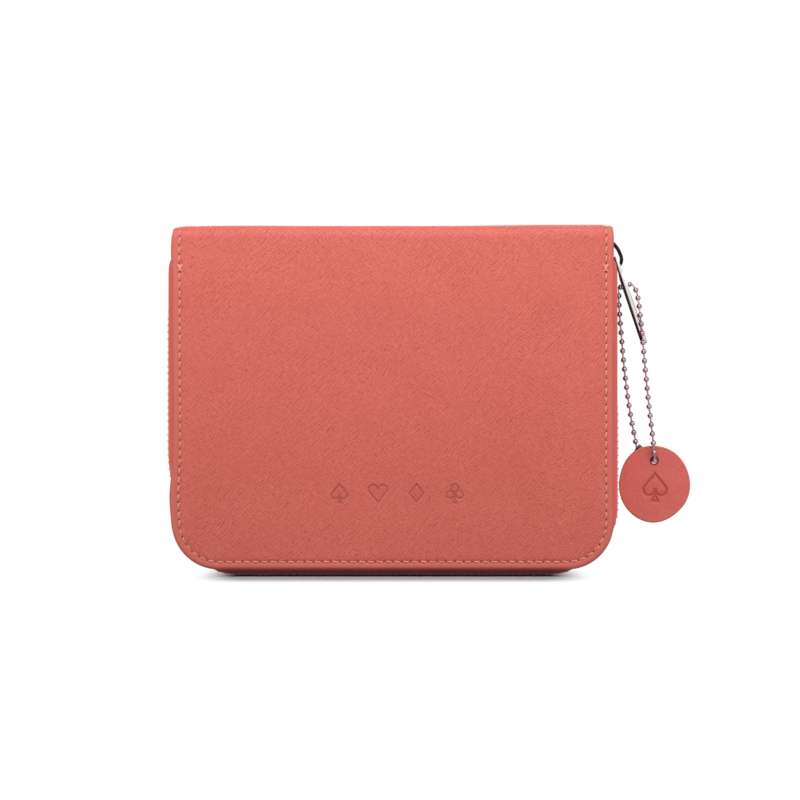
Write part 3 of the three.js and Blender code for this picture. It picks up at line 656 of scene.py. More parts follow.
@dataclass(frozen=True)
class SmoothLeather:
    """Smooth dyed leather with pores, faint cloudiness and pale scuffs."""

    name: str
    body: Colour
    dark: Colour
    rough: float = 0.52
    relief: float = 0.02
    scuff: Colour = shade(236, 140, 124)
    groove: Colour = shade(168, 56, 50)
    burnt: Colour = shade(96, 34, 28)

    def make(self) -> Material:
        """Makes the material, on the points' own places. What is pressed runs to 1, and the painted shade of
        the tag's hole over it.

        Returns:
            The finished material.
        """
        bench = Bench(self.name)
        place = bench.place()
        pores = bench.noise(place, 4.5, 4.0)
        clouds = bench.noise(place, 0.12, 3.0)
        _, _, press = bench.parts(bench.fact("seam"))
        tone = bench.mix(bench.eased(clouds, 0.35, 0.68) * 0.5, self.body, self.dark)
        tone = bench.mix(bench.eased(pores, 0.6, 0.75) * 0.25, tone, self.dark)
        scuffs = bench.maths("ABSOLUTE", bench.noise(place, 0.8, 5.0) - 0.5)
        tone = bench.mix(bench.eased(scuffs, 0.03, 0.0) * 0.5, tone, self.scuff)
        tone = bench.mix(bench.maths("MINIMUM", press, 1.0) * 0.75, tone, self.groove)
        # Painted shade round the tag's hole, where the press runs past 1
        tone = bench.mix(bench.eased(press, 1.1, 2.0), tone, self.burnt)
        rough = self.rough + pores * 0.1
        look = {"Base_Color": tone, "Roughness": rough, "IOR": 1.45, "Sheen_Weight": 0.05}
        return bench.finish(pores, self.relief, **look)


@dataclass(frozen=True)
class WovenTape:
    """Herringbone tape: ribs that lean one way and then the other, from the points' plan."""

    name: str
    body: Colour
    dark: Colour
    rib: float = 0.55
    lane: float = 1.6
    thread: float = 0.36

    def make(self) -> Material:
        """Makes the material. Ribs and threads are sine waves along and across the tape.

        Returns:
            The finished material.
        """
        bench = Bench(self.name)
        run, across, _ = bench.parts(bench.fact("plan"))
        slanted = run + bench.maths("PINGPONG", across, self.lane) * 0.8
        rib = bench.maths("SINE", slanted * (ROUND / self.rib)) * 0.5 + 0.5
        thread = bench.maths("SINE", across * (ROUND / self.thread)) * 0.5 + 0.5
        fuzz = bench.noise(bench.fact("plan"), 3.0, 3.0)
        weave = rib * 0.7 + thread * 0.2 + fuzz * 0.1
        tone = bench.mix(bench.eased(weave, 0.05, 0.75), self.dark, self.body)
        look = {"Base_Color": tone, "Roughness": 0.9 - fuzz * 0.1, "Sheen_Weight": 0.25}
        return bench.finish(weave, 0.07, **look)


@dataclass(frozen=True)
class SewingThread:
    """Two twisted strands, from the points' plan: along the thread and round it."""

    name: str
    body: Colour
    dark: Colour

    def make(self) -> Material:
        """Makes the material.

        Returns:
            The finished material.
        """
        bench = Bench(self.name)
        along, around, _ = bench.parts(bench.fact("plan"))
        twist = bench.maths("SINE", along * 9.0 + around) * 0.5 + 0.5
        tone = bench.mix(bench.eased(twist, 0.0, 0.6), self.dark, self.body)
        look = {"Base_Color": tone, "Roughness": 0.62 - twist * 0.08, "Sheen_Weight": 0.1}
        return bench.finish(twist, 0.05, **look)


@dataclass(frozen=True)
class Plating:
    """Bright plated metal with fine handling marks."""

    name: str
    body: Colour
    dull: Colour
    rough: float
    relief: float = 0.004

    def tone(self, bench: Bench, place: Wire) -> Wire:
        """The metal's colour: the body's, clouded by the dull one."""
        clouds = bench.noise(place, 0.5, 2.0)
        return bench.mix(bench.eased(clouds, 0.4, 0.8) * 0.6, self.body, self.dull)

    def make(self) -> Material:
        """Makes the material.

        Returns:
            The finished material.
        """
        bench = Bench(self.name)
        place = bench.place()
        marks = bench.noise(bench.turned(place, 35, 6.0), 1.8, 4.0)
        rough = self.rough + bench.eased(marks, 0.45, 0.8) * 0.12
        look = {"Base_Color": self.tone(bench, place), "Roughness": rough, "Metallic": 1.0}
        return bench.finish(marks, self.relief, **look)


@dataclass(frozen=True)
class TwoTonePlating(Plating):
    """Bright plating on one face of a thin piece, with painted reflections: dark on its other face, grey
    along its edge.

    The dull colour is the painted dark reflection here. Start and rim are places through the piece's
    thickness, where the bright face begins and where its painted grey reflection does.
    """

    rough: float = 0.13
    relief: float = 0.001
    worn: Colour = shade(176, 170, 168)
    middle: Place = (81.6557, 0.0, 116.0044)
    outwards: Place = (math.cos(LEAN), 0.0, math.sin(LEAN))
    start: float = -0.28
    rim: float = 0.56
    blur: float = 0.16

    def tone(self, bench: Bench, place: Wire) -> Wire:
        """The metal's colour with its painted reflections, which follows the distance through the piece's
        thickness.

        Args:
            bench: Where the nodes go.
            place: The place in millimetres.

        Returns:
            The colour.
        """
        from_middle = bench.vector("SUBTRACT", place, self.middle)
        depth = bench.vector("DOT_PRODUCT", from_middle, self.outwards, out=1)
        # Painted dark reflection on the inner face, and a painted grey reflection along the outer edge
        bright = bench.eased(depth, self.start - self.blur, self.start + self.blur)
        tone = bench.mix(bright, self.dull, self.body)
        return bench.mix(bench.eased(depth, self.rim, self.rim + 0.1), tone, self.worn)


@dataclass(frozen=True)
class PressedBoard:
    """Dyed bookbinder's board with flecks."""

    name: str
    body: Colour
    fleck: Colour

    def make(self) -> Material:
        """Makes the material.

        Returns:
            The finished material.
        """
        bench = Bench(self.name)
        fibres = bench.noise(bench.turned(bench.place(), 10, 3.0), 1.2, 5.0)
        tone = bench.mix(bench.eased(fibres, 0.5, 0.75), self.body, self.fleck)
        return bench.finish(fibres, 0.03, Base_Color=tone, Roughness=0.86 + fibres * 0.1)


class Finishes:
    """Every finish of the case, each made once."""

    def __init__(self) -> None:
        """Makes the materials."""
        self.cover = PebbledLeather(
            "coral_pebbled_leather",
            body=shade(217, 107, 93),
            pebble=shade(224, 116, 102),
            crease=shade(192, 80, 68),
            hole=shade(124, 32, 24),
            edge=shade(196, 92, 76),
            rim=shade(208, 104, 88),
        ).make()
        self.tag = SmoothLeather("coral_smooth_leather", shade(217, 102, 93), shade(206, 92, 83)).make()
        self.lining = SmoothLeather(
            "blush_lining_leather", shade(219, 142, 128), shade(205, 124, 110), 0.66
        ).make()
        self.tape = WovenTape("coral_zip_tape", shade(252, 106, 96), shade(224, 76, 70)).make()
        self.thread = SewingThread("coral_thread", shade(246, 164, 148), shade(206, 110, 96)).make()
        self.teeth = Plating("zip_tooth_metal", shade(222, 190, 178), shade(196, 160, 150), 0.24).make()
        self.plate = Plating("bright_nickel", shade(214, 212, 214), shade(196, 194, 196), 0.12).make()
        # The slider's face and arch are near-black as painted reflection: chrome reflecting dark
        # surroundings, painted into its colour
        self.dark_plate = Plating("smoked_nickel", shade(38, 32, 34), shade(24, 20, 22), 0.12).make()
        # The beads' nickel is darkened and tinted rosy: painted reflection of the coral case and dark
        # surroundings, over random dull clouds
        self.beads = Plating("rosy_nickel", shade(176, 152, 158), shade(128, 104, 110), 0.12).make()
        self.clasp = Plating("browned_nickel", shade(92, 62, 60), shade(60, 38, 36), 0.2).make()
        # The puller carries painted reflections: dark on its inner face, grey along its outer edge
        self.puller = TwoTonePlating("two_tone_nickel", shade(226, 222, 222), shade(34, 22, 22)).make()
        self.board = PressedBoard("dyed_board", shade(186, 92, 80), shade(160, 74, 64)).make()


# The leaves


@dataclass(frozen=True)
class CaseShape:
    """The closed case, from the CAD model. A side edge drifts by a sum of bell curves up it, and by
    its own top drift, left or right, where it is drawn over the fold."""

    half_width: float = 80.0
    bottom: float = 2.6
    top: float = 126.6
    half_depth: float = 18.0
    corner: float = 17.0
    fold: float = 4.0
    roll: float = 1.2
    left_drift: tuple = ((-0.4, 118.0, 5.0), (0.35, 55.0, 22.0), (-1.0, 29.0, 9.0))
    right_drift: tuple = ((-0.12, 60.0, 30.0),)
    top_drifts: tuple[float, float] = (0.3, -0.2)

    @property
    def fold_base(self) -> float:
        """The height at which the cover starts to bend over the fold."""
        return self.top - self.fold

    @property
    def plan_top(self) -> float:
        """The unrolled height of the spine's middle."""
        return self.fold_base + self.fold * QUARTER + self.half_depth - self.fold

    def drape(self, side: Side, across: Array, upwards: Array, depth: Array) -> Array:
        """Lays the unrolled cover on the case.

        Up to the fold it stands upright, then it goes round a quarter circle about the fold's
        middle, and on flat to the middle of the spine. Depth is measured inwards from its face.

        Args:
            side: Which leaf.
            across: Places to the right.
            upwards: Places up the unrolled cover.
            depth: How deep below its face.

        Returns:
            Points, by X, Y, Z.
        """
        turn = np.clip((upwards - self.fold_base) / self.fold, 0, QUARTER)
        flat = np.clip(upwards - self.fold_base - self.fold * QUARTER, 0, None)
        radius = self.fold - depth
        out = self.half_depth - self.fold + radius * np.cos(turn) - flat
        height = np.minimum(upwards, self.fold_base) + radius * np.sin(turn)
        height = height + self.crown(across, upwards)
        return joined(across + self.edge_drift(across, upwards), side.value * out, height)

    def edge_drift(self, across: Array, upwards: Array) -> Array:
        """How much the hand turned edge swells or draws in, full at the edge and fading inwards.

        Args:
            across: Places to the right.
            upwards: Places up the unrolled cover.

        Returns:
            The shift along X.
        """
        near = eased(np.abs(across), 74.5, self.half_width)
        drawn = eased(upwards, 122.5, 127.0)
        left = self.top_drifts[0] * drawn + bells(upwards, self.left_drift)
        right = self.top_drifts[1] * drawn + bells(upwards, self.right_drift)
        return near * np.where(across < 0, left, right)

    def crown(self, across: Array, upwards: Array) -> Array:
        """How far the leather stands up over the spine: less at its ends, with a slow wave.

        Args:
            across: Places to the right.
            upwards: Places up the unrolled cover.

        Returns:
            The rise.
        """
        rise = 0.66 + 0.42 * eased(across, 15, 60) + 0.12 * bell(across, -52, 14)
        left = 1 - np.exp(-np.clip(79.3 + across, 0, None) / 3.5)
        right = 1 - 0.4 * eased(across, 74, self.half_width)
        return eased(upwards, 118, 127) * rise * left * right


CASE = CaseShape()


@dataclass
class Ring:
    """A leaf's open outline at one inset: down the left, round the bottom, and up the right.

    Each point keeps its number at every inset, so rings at different insets join point to point.
    Rows are heights up a side, columns are places along the bottom, and arc is a corner's steps.
    """

    rows: Array
    columns: Array
    arc: int

    def plan(self, inset: float) -> tuple[Array, Array]:
        """The outline at an inset: straight sides, and quarter circles about the corners' middles.

        Args:
            inset: How far in from the cover's edge.

        Returns:
            Places to the right, and upwards.
        """
        middle_x, middle_z = CASE.half_width - CASE.corner, CASE.bottom + CASE.corner
        radius = CASE.corner - inset
        turns = np.linspace(0, QUARTER, self.arc + 1)[1:-1]
        side = np.full(len(self.rows), middle_x + radius)
        arc_x = middle_x + radius * np.sin(turns)
        arc_z = middle_z - radius * np.cos(turns)
        base = np.full(len(self.columns), middle_z - radius)
        across = np.concatenate([-side, -arc_x[::-1], self.columns, arc_x, side])
        upwards = np.concatenate([self.rows[::-1], arc_z[::-1], base, arc_z, self.rows])
        return across, upwards

    def run(self, inset: float) -> Array:
        """The length along the outline at an inset, from the middle of the bottom."""
        length = lengths(joined(*self.plan(inset)))
        return length - length[-1] / 2


@dataclass
class Cover:
    """A leaf's leather with its half of the spine, turned in round its open edges.

    The turned edge holds insets and depths from its inner corner to the roll.
    """

    finishes: Finishes
    grain: float = 1.07
    fine: float = 0.26
    fold_grain: float = 0.55
    arc: int = 18
    marks: tuple[Suit, ...] = (Suit.SPADE, Suit.HEART, Suit.DIAMOND, Suit.CLUB)
    mark_height: float = 7.3
    mark_pitch: float = 13.9
    mark_middle: tuple[float, float] = (1.5, 30.2)
    mark_depth: float = 0.3
    turned_edge: tuple = ((1.4, 1.4), (1.4, 3.0), (1.1, 3.1), (0.3, 3.1), (0.08, 3.0), (0.0, 2.7))
    panel_insets: tuple = (
        1.6, 1.95, 2.25, 2.5, 2.65, 2.8, 2.95, 3.1, 3.35, 3.7, 4.3, 5.2, 6.6, 8.5, 11, 14, 17
    )

    def pressed(self, side: Side, across: Array, upwards: Array) -> Array:
        """How deep the row of marks is pressed in: a bell curve along each outline, a low step inside it.

        Args:
            side: Which leaf. Only the front one has marks.
            across: Places to the right.
            upwards: Places upwards.

        Returns:
            The share of the full depth: a groove along each outline, and less inside it.
        """
        half = self.mark_height / 2
        start = self.mark_middle[0] - self.mark_pitch * (len(self.marks) - 1) / 2
        depth = np.zeros(np.broadcast(across, upwards).shape)
        for place, suit in enumerate(self.marks if side is Side.FRONT else ()):
            x = (across - start - place * self.mark_pitch) / half
            z = (upwards - self.mark_middle[1]) / half
            inside = suit_depth(suit, x, z) * half
            depth += bell(inside, 0.2, 0.24) + 0.16 * eased(inside, 0.0, 0.5)
        return depth

    def depth(self, side: Side, across: Array, upwards: Array, inset: Array, run: Array) -> Array:
        """The cover's relief: a groove along the seam, dips at its holes, a crown and a slow ripple.

        Args:
            side: Which leaf.
            across: Places to the right.
            upwards: Places up the unrolled cover.
            inset: Distance in from the edge.
            run: Length along the seam.

        Returns:
            The depth below the plain face.
        """
        holes = np.cos(ROUND * run / STITCH) * 0.5 + 0.5
        seam = bell(inset, SEAM_INSET, 0.55) * (0.2 + 0.1 * holes)
        padded = bells(inset, ((0.05, 5.2, 1.6), (0.03, 1.6, 0.5)))
        crown = eased(inset, 3.0, 17.0) * 0.12
        wave = 0.07 * ripple(across, upwards, 1.0 + side.value) * eased(inset, 1.0, 6.0)
        above = eased(upwards, CASE.fold_base - 3, CASE.fold_base + 2)
        marks = self.mark_depth * self.pressed(side, across, upwards)
        return 0.05 + seam - padded - (crown + wave) * (1 - above) + marks

    def rows(self) -> Array:
        """Heights up the cover, closer together at the marks and over the fold.

        Returns:
            The heights, rising.
        """
        reach, middle = self.mark_height / 2 + 1, self.mark_middle[1]
        return graded(
            CASE.bottom + CASE.corner,
            (middle - reach, self.grain),
            (middle + reach, self.fine),
            (CASE.fold_base - 2, self.grain),
            (CASE.fold_base + CASE.fold * QUARTER + 1, self.fold_grain),
            (CASE.plan_top, self.grain),
        ).round(6)

    def columns(self) -> Array:
        """Places along the bottom, closer together at the marks.

        Returns:
            The places, from left to right.
        """
        edge, middle = CASE.half_width - CASE.corner, self.mark_middle[0]
        reach = self.mark_pitch * (len(self.marks) - 1) / 2 + self.mark_height / 2 + 1
        spans = (middle - reach, self.grain), (middle + reach, self.fine), (edge, self.grain)
        return graded(-edge, *spans).round(6)

    def profile(self) -> tuple[Array, Array]:
        """The rings, from the turned-in edge's inner corner over the roll, a quarter circle, to the panel.

        Returns:
            Their insets and their depths.
        """
        turn = np.linspace(QUARTER, 0, 7)
        roll = CASE.roll * joined(1 - np.sin(turn), 1 - np.cos(turn))
        panel = joined(np.array(self.panel_insets), 0.0)
        return tuple(np.concatenate([np.array(self.turned_edge), roll, panel]).T)

    @staticmethod
    def pattern(side: Side, across: Array, upwards: Array) -> Array:
        """Places on the whole unrolled cover, from the front's foot over the spine to the back's."""
        return joined(across, upwards if side is Side.FRONT else 2 * CASE.plan_top - upwards, 0.0)

    def build(self, side: Side) -> Piece:
        """Builds one leaf's leather.

        The rings are stacked from the turned-in edge to 17 mm in, a plain grid fills the panel
        between them, strips from side to side close the inside, and a wall closes the spine's middle.

        Args:
            side: Which leaf.

        Returns:
            The piece.
        """
        ring = Ring(self.rows(), self.columns(), self.arc)
        insets, plain = self.profile()
        run = ring.run(SEAM_INSET)[None]
        across, upwards = np.array([ring.plan(inset) for inset in insets]).transpose(1, 0, 2)
        insets = insets[:, None]
        relief = self.depth(side, across, upwards, insets, run)
        # The relief starts two rings up the roll
        outer = (np.arange(len(insets)) >= len(self.turned_edge) + 2)[:, None]
        depth = plain[:, None] + relief * eased(insets, 0.3, 1.4) * outer
        draft = Draft()
        index = draft.grid(
            CASE.drape(side, across, upwards, depth),
            plan=self.pattern(side, across, upwards),
            seam=joined(run, insets, 0.0),
        )
        x, z = np.meshgrid(ring.columns, ring.rows)
        innermost = self.panel_insets[-1]
        inset = np.maximum(np.minimum(CASE.half_width - np.abs(x), z - CASE.bottom), innermost)
        inner = draft.grid(
            CASE.drape(side, x, z, self.depth(side, x, z, inset, 0 * x)),
            plan=self.pattern(side, x, z),
            seam=joined(0.0, innermost, self.pressed(side, x, z)),
        )
        self.close_inside(draft, index, inner, ring)
        piece = draft.piece(f"{side.body}_cover_skin", self.finishes.cover, "cover_leather", 62.0)
        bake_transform(piece)
        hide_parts(f"{side.body}_cover_leather", "spine_leather")
        return piece

    @staticmethod
    def close_inside(draft: Draft, index: Array, inner: Array, ring: Ring) -> None:
        """Closes the leather behind its turned-in edge and across the spine's middle.

        Args:
            draft: The mesh so far.
            index: The rings' point numbers.
            inner: The panel's point numbers.
            ring: The outline that both follow.
        """
        hidden = index[0]
        pairs = len(ring.rows) + ring.arc - 1
        left, right = hidden[:pairs], hidden[::-1][:pairs]
        strips = joined(left, right)
        draft.band(strips[:-1], strips[1:])
        base = hidden[pairs : pairs + len(ring.columns)]
        draft.cap([left[-1], *base, right[-1]])
        draft.cap([*index[:, 0], *inner[-1, 1:-1], *index[::-1, -1]])


@dataclass
class Seam:
    """The lockstitched seam round a cover, and the crossed tacks where the zip ends."""

    finishes: Finishes
    thread: float = 0.33
    trim: float = 0.36
    slant: float = 0.16
    sunk: tuple[float, float] = (0.42, 0.13)
    tack_height: float = 111.6
    tack_inset: float = 2.95
    tack_reach: tuple[float, float] = (0.899, 1.45)
    tack_sunk: tuple[float, float] = (0.2, -0.05)

    def strand(self, side: Side, first: Array, last: Array, sunk: tuple[float, float]) -> tuple[Array, Array]:
        """Short threads between pairs of points of the unrolled cover.

        Each goes straight from its first point to its last, rises between them as a half sine,
        and is round, a little thinner at its ends.

        Args:
            side: Which leaf.
            first: Where each thread starts, across and upwards.
            last: Where each ends.
            sunk: The depth of its ends, and of its middle.

        Returns:
            Points, and their plan for the twist: copies by stations by sides.
        """
        share = np.linspace(0, 1, 7)
        ring = circle(6)
        middle = first[:, None] + (last - first)[:, None] * share[:, None]
        depth = sunk[0] + (sunk[1] - sunk[0]) * np.sin(math.pi * share) ** 0.6
        radius = (self.thread * (0.62 + 0.38 * np.sin(math.pi * share) ** 0.5))[:, None]
        aside = beside(unit(last - first))[:, None, None]
        plan = middle[:, :, None] + (radius * ring[:, 0])[None, ..., None] * aside
        points = CASE.drape(side, plan[..., 0], plan[..., 1], (depth[:, None] - radius * ring[:, 1])[None])
        length = np.linalg.norm(last - first, axis=-1)
        along = length[:, None, None] * share[:, None]
        return points, joined(along, np.arctan2(ring[:, 1], ring[:, 0]), 0.0)

    def line(self) -> tuple[Array, Array]:
        """The ends of each stitch along the seam, a little askew.

        Returns:
            Where each starts, and where it ends.
        """
        corner = CASE.half_width - CASE.corner
        sides = steps(CASE.bottom + CASE.corner, CASE.plan_top, 0.5)
        ring = Ring(sides, steps(-corner, corner, 0.5), 40)
        plan, run = joined(*ring.plan(SEAM_INSET)), ring.run(SEAM_INSET)
        count = math.floor(run[-1] / STITCH)
        holes = np.arange(-count, count + 1) * STITCH
        first = looked_up(holes[:-1] + self.trim, run, plan)
        last = looked_up(holes[1:] - self.trim, run, plan)
        aside = beside(unit(last - first)) * self.slant
        return first + aside, last - aside

    def tacks(self) -> tuple[Array, Array]:
        """The ends of the crossed threads at the zip's ends.

        Returns:
            Where each starts, and where it ends.
        """
        edge = CASE.half_width - self.tack_inset
        middle = np.array([[way * edge, self.tack_height] for way in (-1, -1, 1, 1)])
        reach = np.array([[lean, 1] for lean in (-1, 1, -1, 1)]) * self.tack_reach
        return middle - reach, middle + reach

    def build(self, side: Side) -> Piece:
        """Sews one leaf.

        Args:
            side: Which leaf.

        Returns:
            The threads as one piece.
        """
        draft = Draft()
        for ends, sunk in ((self.line(), self.sunk), (self.tacks(), self.tack_sunk)):
            points, twist = self.strand(side, *ends, sunk)
            draft.copies(points, plan=twist)
        piece = draft.piece(f"{side.body}_seam", self.finishes.thread)
        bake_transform(piece)
        return piece


# The zip


@dataclass(frozen=True)
class ZipPath:
    """The zip's middle line, as the CAD model lays it: along the bottom, round both corners, up to an
    elbow on each side, and inwards from there. Drops and tuck fades are for the left leg, then the
    right one."""

    radius: float = 18.5
    corner_x: float = 63.0
    corner_z: float = 19.6
    top: float = 121.8
    tuck: float = 4.25
    elbow_radius: float = 90.0
    drops: tuple[float, float] = (31.8, 65.8)
    base_edge: float = -1.5
    bulge_top: float = 4.3
    bulge_fade: float = 9.0
    tucked: float = 2.7
    tuck_start: tuple[float, float] = (60.0, 70.0)
    tuck_fades: tuple = ((93.0, 118.0), (82.0, 97.0))

    def leg(self, right: bool) -> tuple[float, float, float]:
        """The lengths of a leg.

        Args:
            right: Whether it is the right leg.

        Returns:
            Its rise to its elbow, its bend there, and its whole run.
        """
        drop = self.drops[int(right)]
        inwards = self.tuck - self.elbow_radius
        straight = math.sqrt(inwards**2 + drop**2 - self.elbow_radius**2)
        lean = math.atan2(straight, -self.elbow_radius) - math.atan2(drop, inwards)
        rise, bend = self.top - drop - self.corner_z, self.elbow_radius * lean
        return rise, bend, self.corner_x + self.radius * QUARTER + rise + bend + straight

    def run(self, right: bool) -> float:
        """A leg's whole run from the middle of the bottom."""
        return self.leg(right)[-1]

    def at(self, runs: Array) -> dict[str, Array]:
        """Places on the middle line, by their run from the middle of the bottom.

        A place is the sum of its straight, its share of the corner's circle, its share of the
        elbow's circle, and what is left of its leg. It is drawn in round the corners.

        Args:
            runs: Lengths along the zip, positive to the right.

        Returns:
            The points, outward and forward ways, the cover edge's distance, and the tape's bulge.
        """
        leg = (runs > 0).astype(int)
        rise, bend, whole = np.array([self.leg(False), self.leg(True)])[leg].T
        low, high = np.array(self.tuck_fades)[leg].T
        way, length = np.where(runs < 0, -1.0, 1.0), np.abs(runs)
        past = np.maximum(0, length - self.corner_x)
        corner = np.minimum(past, self.radius * QUARTER) / self.radius
        up = np.maximum(0, past - self.radius * QUARTER)
        elbow = np.clip(up - rise, 0, bend) / self.elbow_radius
        rest = np.maximum(0, up - rise - bend)
        x = (
            np.minimum(length, self.corner_x)
            + self.radius * np.sin(corner)
            - self.elbow_radius * (1 - np.cos(elbow))
            - rest * np.sin(elbow)
        )
        z = (
            self.corner_z
            - self.radius * np.cos(corner)
            + np.minimum(up, rise)
            + self.elbow_radius * np.sin(elbow)
            + rest * np.cos(elbow)
        )
        sine, cosine = np.sin(corner + elbow), np.cos(corner + elbow)
        edge = np.where(up > 0, (CASE.half_width - x) / np.maximum(sine, 0.1), self.base_edge)
        fade = 1 - (1 - np.clip((whole - length - self.bulge_top) / self.bulge_fade, 0, 1)) ** 3
        drawn_in = eased(length, *self.tuck_start)
        pull = self.tucked * drawn_in * (1 - eased((length - low) / (high - low), 0, 1))
        out = joined(way * sine, 0.0, -cosine)
        return {
            "point": joined(way * x, 0.0, z) - pull[:, None] * out,
            "out": out,
            "along": joined(cosine, 0.0, way * sine),
            "edge": edge + pull,
            "bulge": np.where(up > 0, (self.corner_x + self.radius - x) * fade, 0.0),
        }


ZIP = ZipPath()


@dataclass
class ZipTape:
    """One zip tape: flat beside the teeth, out round the covers' edge, and in under the board."""

    finishes: Finishes
    thickness: float = 0.56
    start: float = 2.3
    cord_edge: float = 3.6
    flat: float = 5.4
    face: float = 3.5
    bend_inset: float = 3.6
    margin: float = 9.0
    pitch: float = 1.6
    base_pitch: float = 3.0

    def middle_lines(self, place: dict[str, Array]) -> Array:
        """The tape's middle line at each place: distances outwards and backwards.

        It runs straight back beside the teeth, eases out to its bulge, turns through a quarter
        circle, and runs straight in.

        Args:
            place: Places on the zip.

        Returns:
            Places by points by the two distances.
        """
        rear = CASE.half_depth - self.face
        bulge, edge = place["bulge"][:, None], place["edge"][:, None]
        bend = self.bend_inset - edge + bulge
        shoulder = rear - bend
        share = np.linspace(0, 1, 9)[None]
        turn = np.linspace(0, QUARTER, 9)[None, 1:]
        round_out = bulge - bend * (1 - np.cos(turn))
        outs = np.hstack([0 * bulge, 0 * bulge, bulge * eased(share, 0, 1), round_out, edge - self.margin])
        level = np.ones_like(bulge)
        back = self.flat + (shoulder - self.flat) * share
        round_back = shoulder + bend * np.sin(turn)
        backs = np.hstack([self.start * level, self.cord_edge * level, back, round_back, rear * level])
        return joined(outs, backs)

    def build(self, side: Side) -> Piece:
        """Builds one tape as a closed strip: its middle line offset to both sides.

        Args:
            side: Which leaf.

        Returns:
            The piece.
        """
        base = ZIP.corner_x
        spans = (-base, self.pitch), (base, self.base_pitch), (ZIP.run(True), self.pitch)
        runs = graded(-ZIP.run(False), *spans)
        place = ZIP.at(runs)
        middle = self.middle_lines(place)
        across = beside(unit(np.gradient(middle, axis=1))) * self.thickness / 2
        loop = np.concatenate([middle - across, (middle + across)[:, ::-1]], 1)
        length = lengths(middle)
        along = np.concatenate([length, length[:, ::-1]], 1)
        draft = Draft()
        points = swept(place["point"], place["out"], np.array([0.0, side.value, 0.0]), loop)
        index = draft.grid(points, closed=True, plan=joined(runs[:, None], along, 0.0))
        draft.cap(index[0])
        draft.cap(index[-1][::-1])
        piece = draft.piece(f"{side.body}_woven_tape", self.finishes.tape, "zip_tape", 50)
        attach(piece, side.body)
        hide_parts(f"{side.body}_zip_tape")
        return piece


@dataclass
class ZipTeeth:
    """One row of metal teeth, clamped on the corded edge of its tape.

    The stations run from a tooth's head to its back: the distance backwards, half the height and
    half the width. The gaps are what is left bare at the zip's start and at each row's end.
    """

    finishes: Finishes
    pitch: float = 2.5
    stations: tuple = (
        (-0.45, 0.72, 0.24), (-0.36, 0.98, 0.44), (0.1, 1.06, 0.5), (0.75, 0.98, 0.42),
        (1.3, 1.02, 0.54), (2.5, 1.1, 0.68), (2.95, 0.98, 0.66), (3.1, 0.7, 0.5),
    )
    squareness: float = 0.62
    cord: float = 0.62
    cord_back: float = 2.35
    cord_pitch: float = 0.9
    cord_reach: float = 0.6
    start_gap: float = 4.0
    back_gap: float = 6.4
    front_gap: float = 14.0

    def shape(self) -> Array:
        """One tooth as rings of eight points: outwards, backwards and forwards.

        Each ring is a rounded oblong: a circle whose coordinates are raised to a power below 1.
        From head to back they widen to a nib, narrow to the neck, widen to the clamp and round off.

        Returns:
            Rings by points by the three distances.
        """
        back, tall, wide = np.array(self.stations).T[..., None]
        ring = circle(8)
        ring = np.sign(ring) * np.abs(ring) ** self.squareness
        return joined(tall * ring[:, 0], back, wide * ring[:, 1])

    def build(self, side: Side) -> list[Piece]:
        """Builds one row and the cord that it is clamped on. The front row is half a pitch on.

        Args:
            side: Which leaf.

        Returns:
            The row and its cord.
        """
        shift, gap = (0.0, self.back_gap) if side is Side.BACK else (0.5, self.front_gap)
        first, last = self.start_gap - ZIP.run(False), ZIP.run(True) - gap
        numbers = np.arange(math.ceil(first / self.pitch - shift), math.floor(last / self.pitch - shift) + 1)
        runs = (numbers + shift) * self.pitch
        place = {name: values[:, None, None] for name, values in ZIP.at(runs).items()}
        tooth = self.shape()[None]
        backwards = np.array([0.0, side.value, 0.0])
        draft = Draft()
        draft.copies(
            place["point"]
            + tooth[..., :1] * place["out"]
            + tooth[..., 1:2] * backwards
            + tooth[..., 2:] * place["along"]
        )
        row = draft.piece(f"{side.body}_tooth_row", self.finishes.teeth, "zip_teeth", 62)
        dense = steps(runs[0] - self.cord_reach, runs[-1] + self.cord_reach, self.cord_pitch)
        place = ZIP.at(dense)
        section = circle(8) * self.cord + (0.0, self.cord_back)
        tube = swept(place["point"], place["out"], backwards, section)
        draft = Draft()
        draft.copies(tube[None], plan=joined(dense[:, None], np.arange(8) * 0.5, 0.0)[None])
        cord = draft.piece(f"{side.body}_tape_cord", self.finishes.tape, "zip_tape")
        for piece in (row, cord):
            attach(piece, side.body)
        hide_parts(f"{side.body}_zip_teeth")
        return [row, cord]


@dataclass(frozen=True)
class Fitting:
    """A metal piece that keeps the CAD model's shape, with its edges rounded by a width."""

    node: str
    name: str
    body: str
    slot: str
    width: float

    def build(self, material: Material, crisp: float = 28.0) -> Piece:
        """Copies the CAD node, joins its flat faces and rounds its edges.

        Args:
            material: Its finish.
            crisp: Edges that turn by more degrees than this are rounded.

        Returns:
            The piece.
        """
        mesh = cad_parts[self.node].data.copy()
        mesh.name = self.name
        tidy_mesh(mesh, 0.6)
        piece = placed(self.name, mesh, material)
        bevel = piece.modifiers.new("rounded", "BEVEL")
        bevel.width, bevel.segments = self.width * METRE, 3
        bevel.limit_method, bevel.angle_limit = "ANGLE", math.radians(crisp)
        bevel.harden_normals = True
        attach(piece, self.body)
        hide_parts(self.node)
        return piece


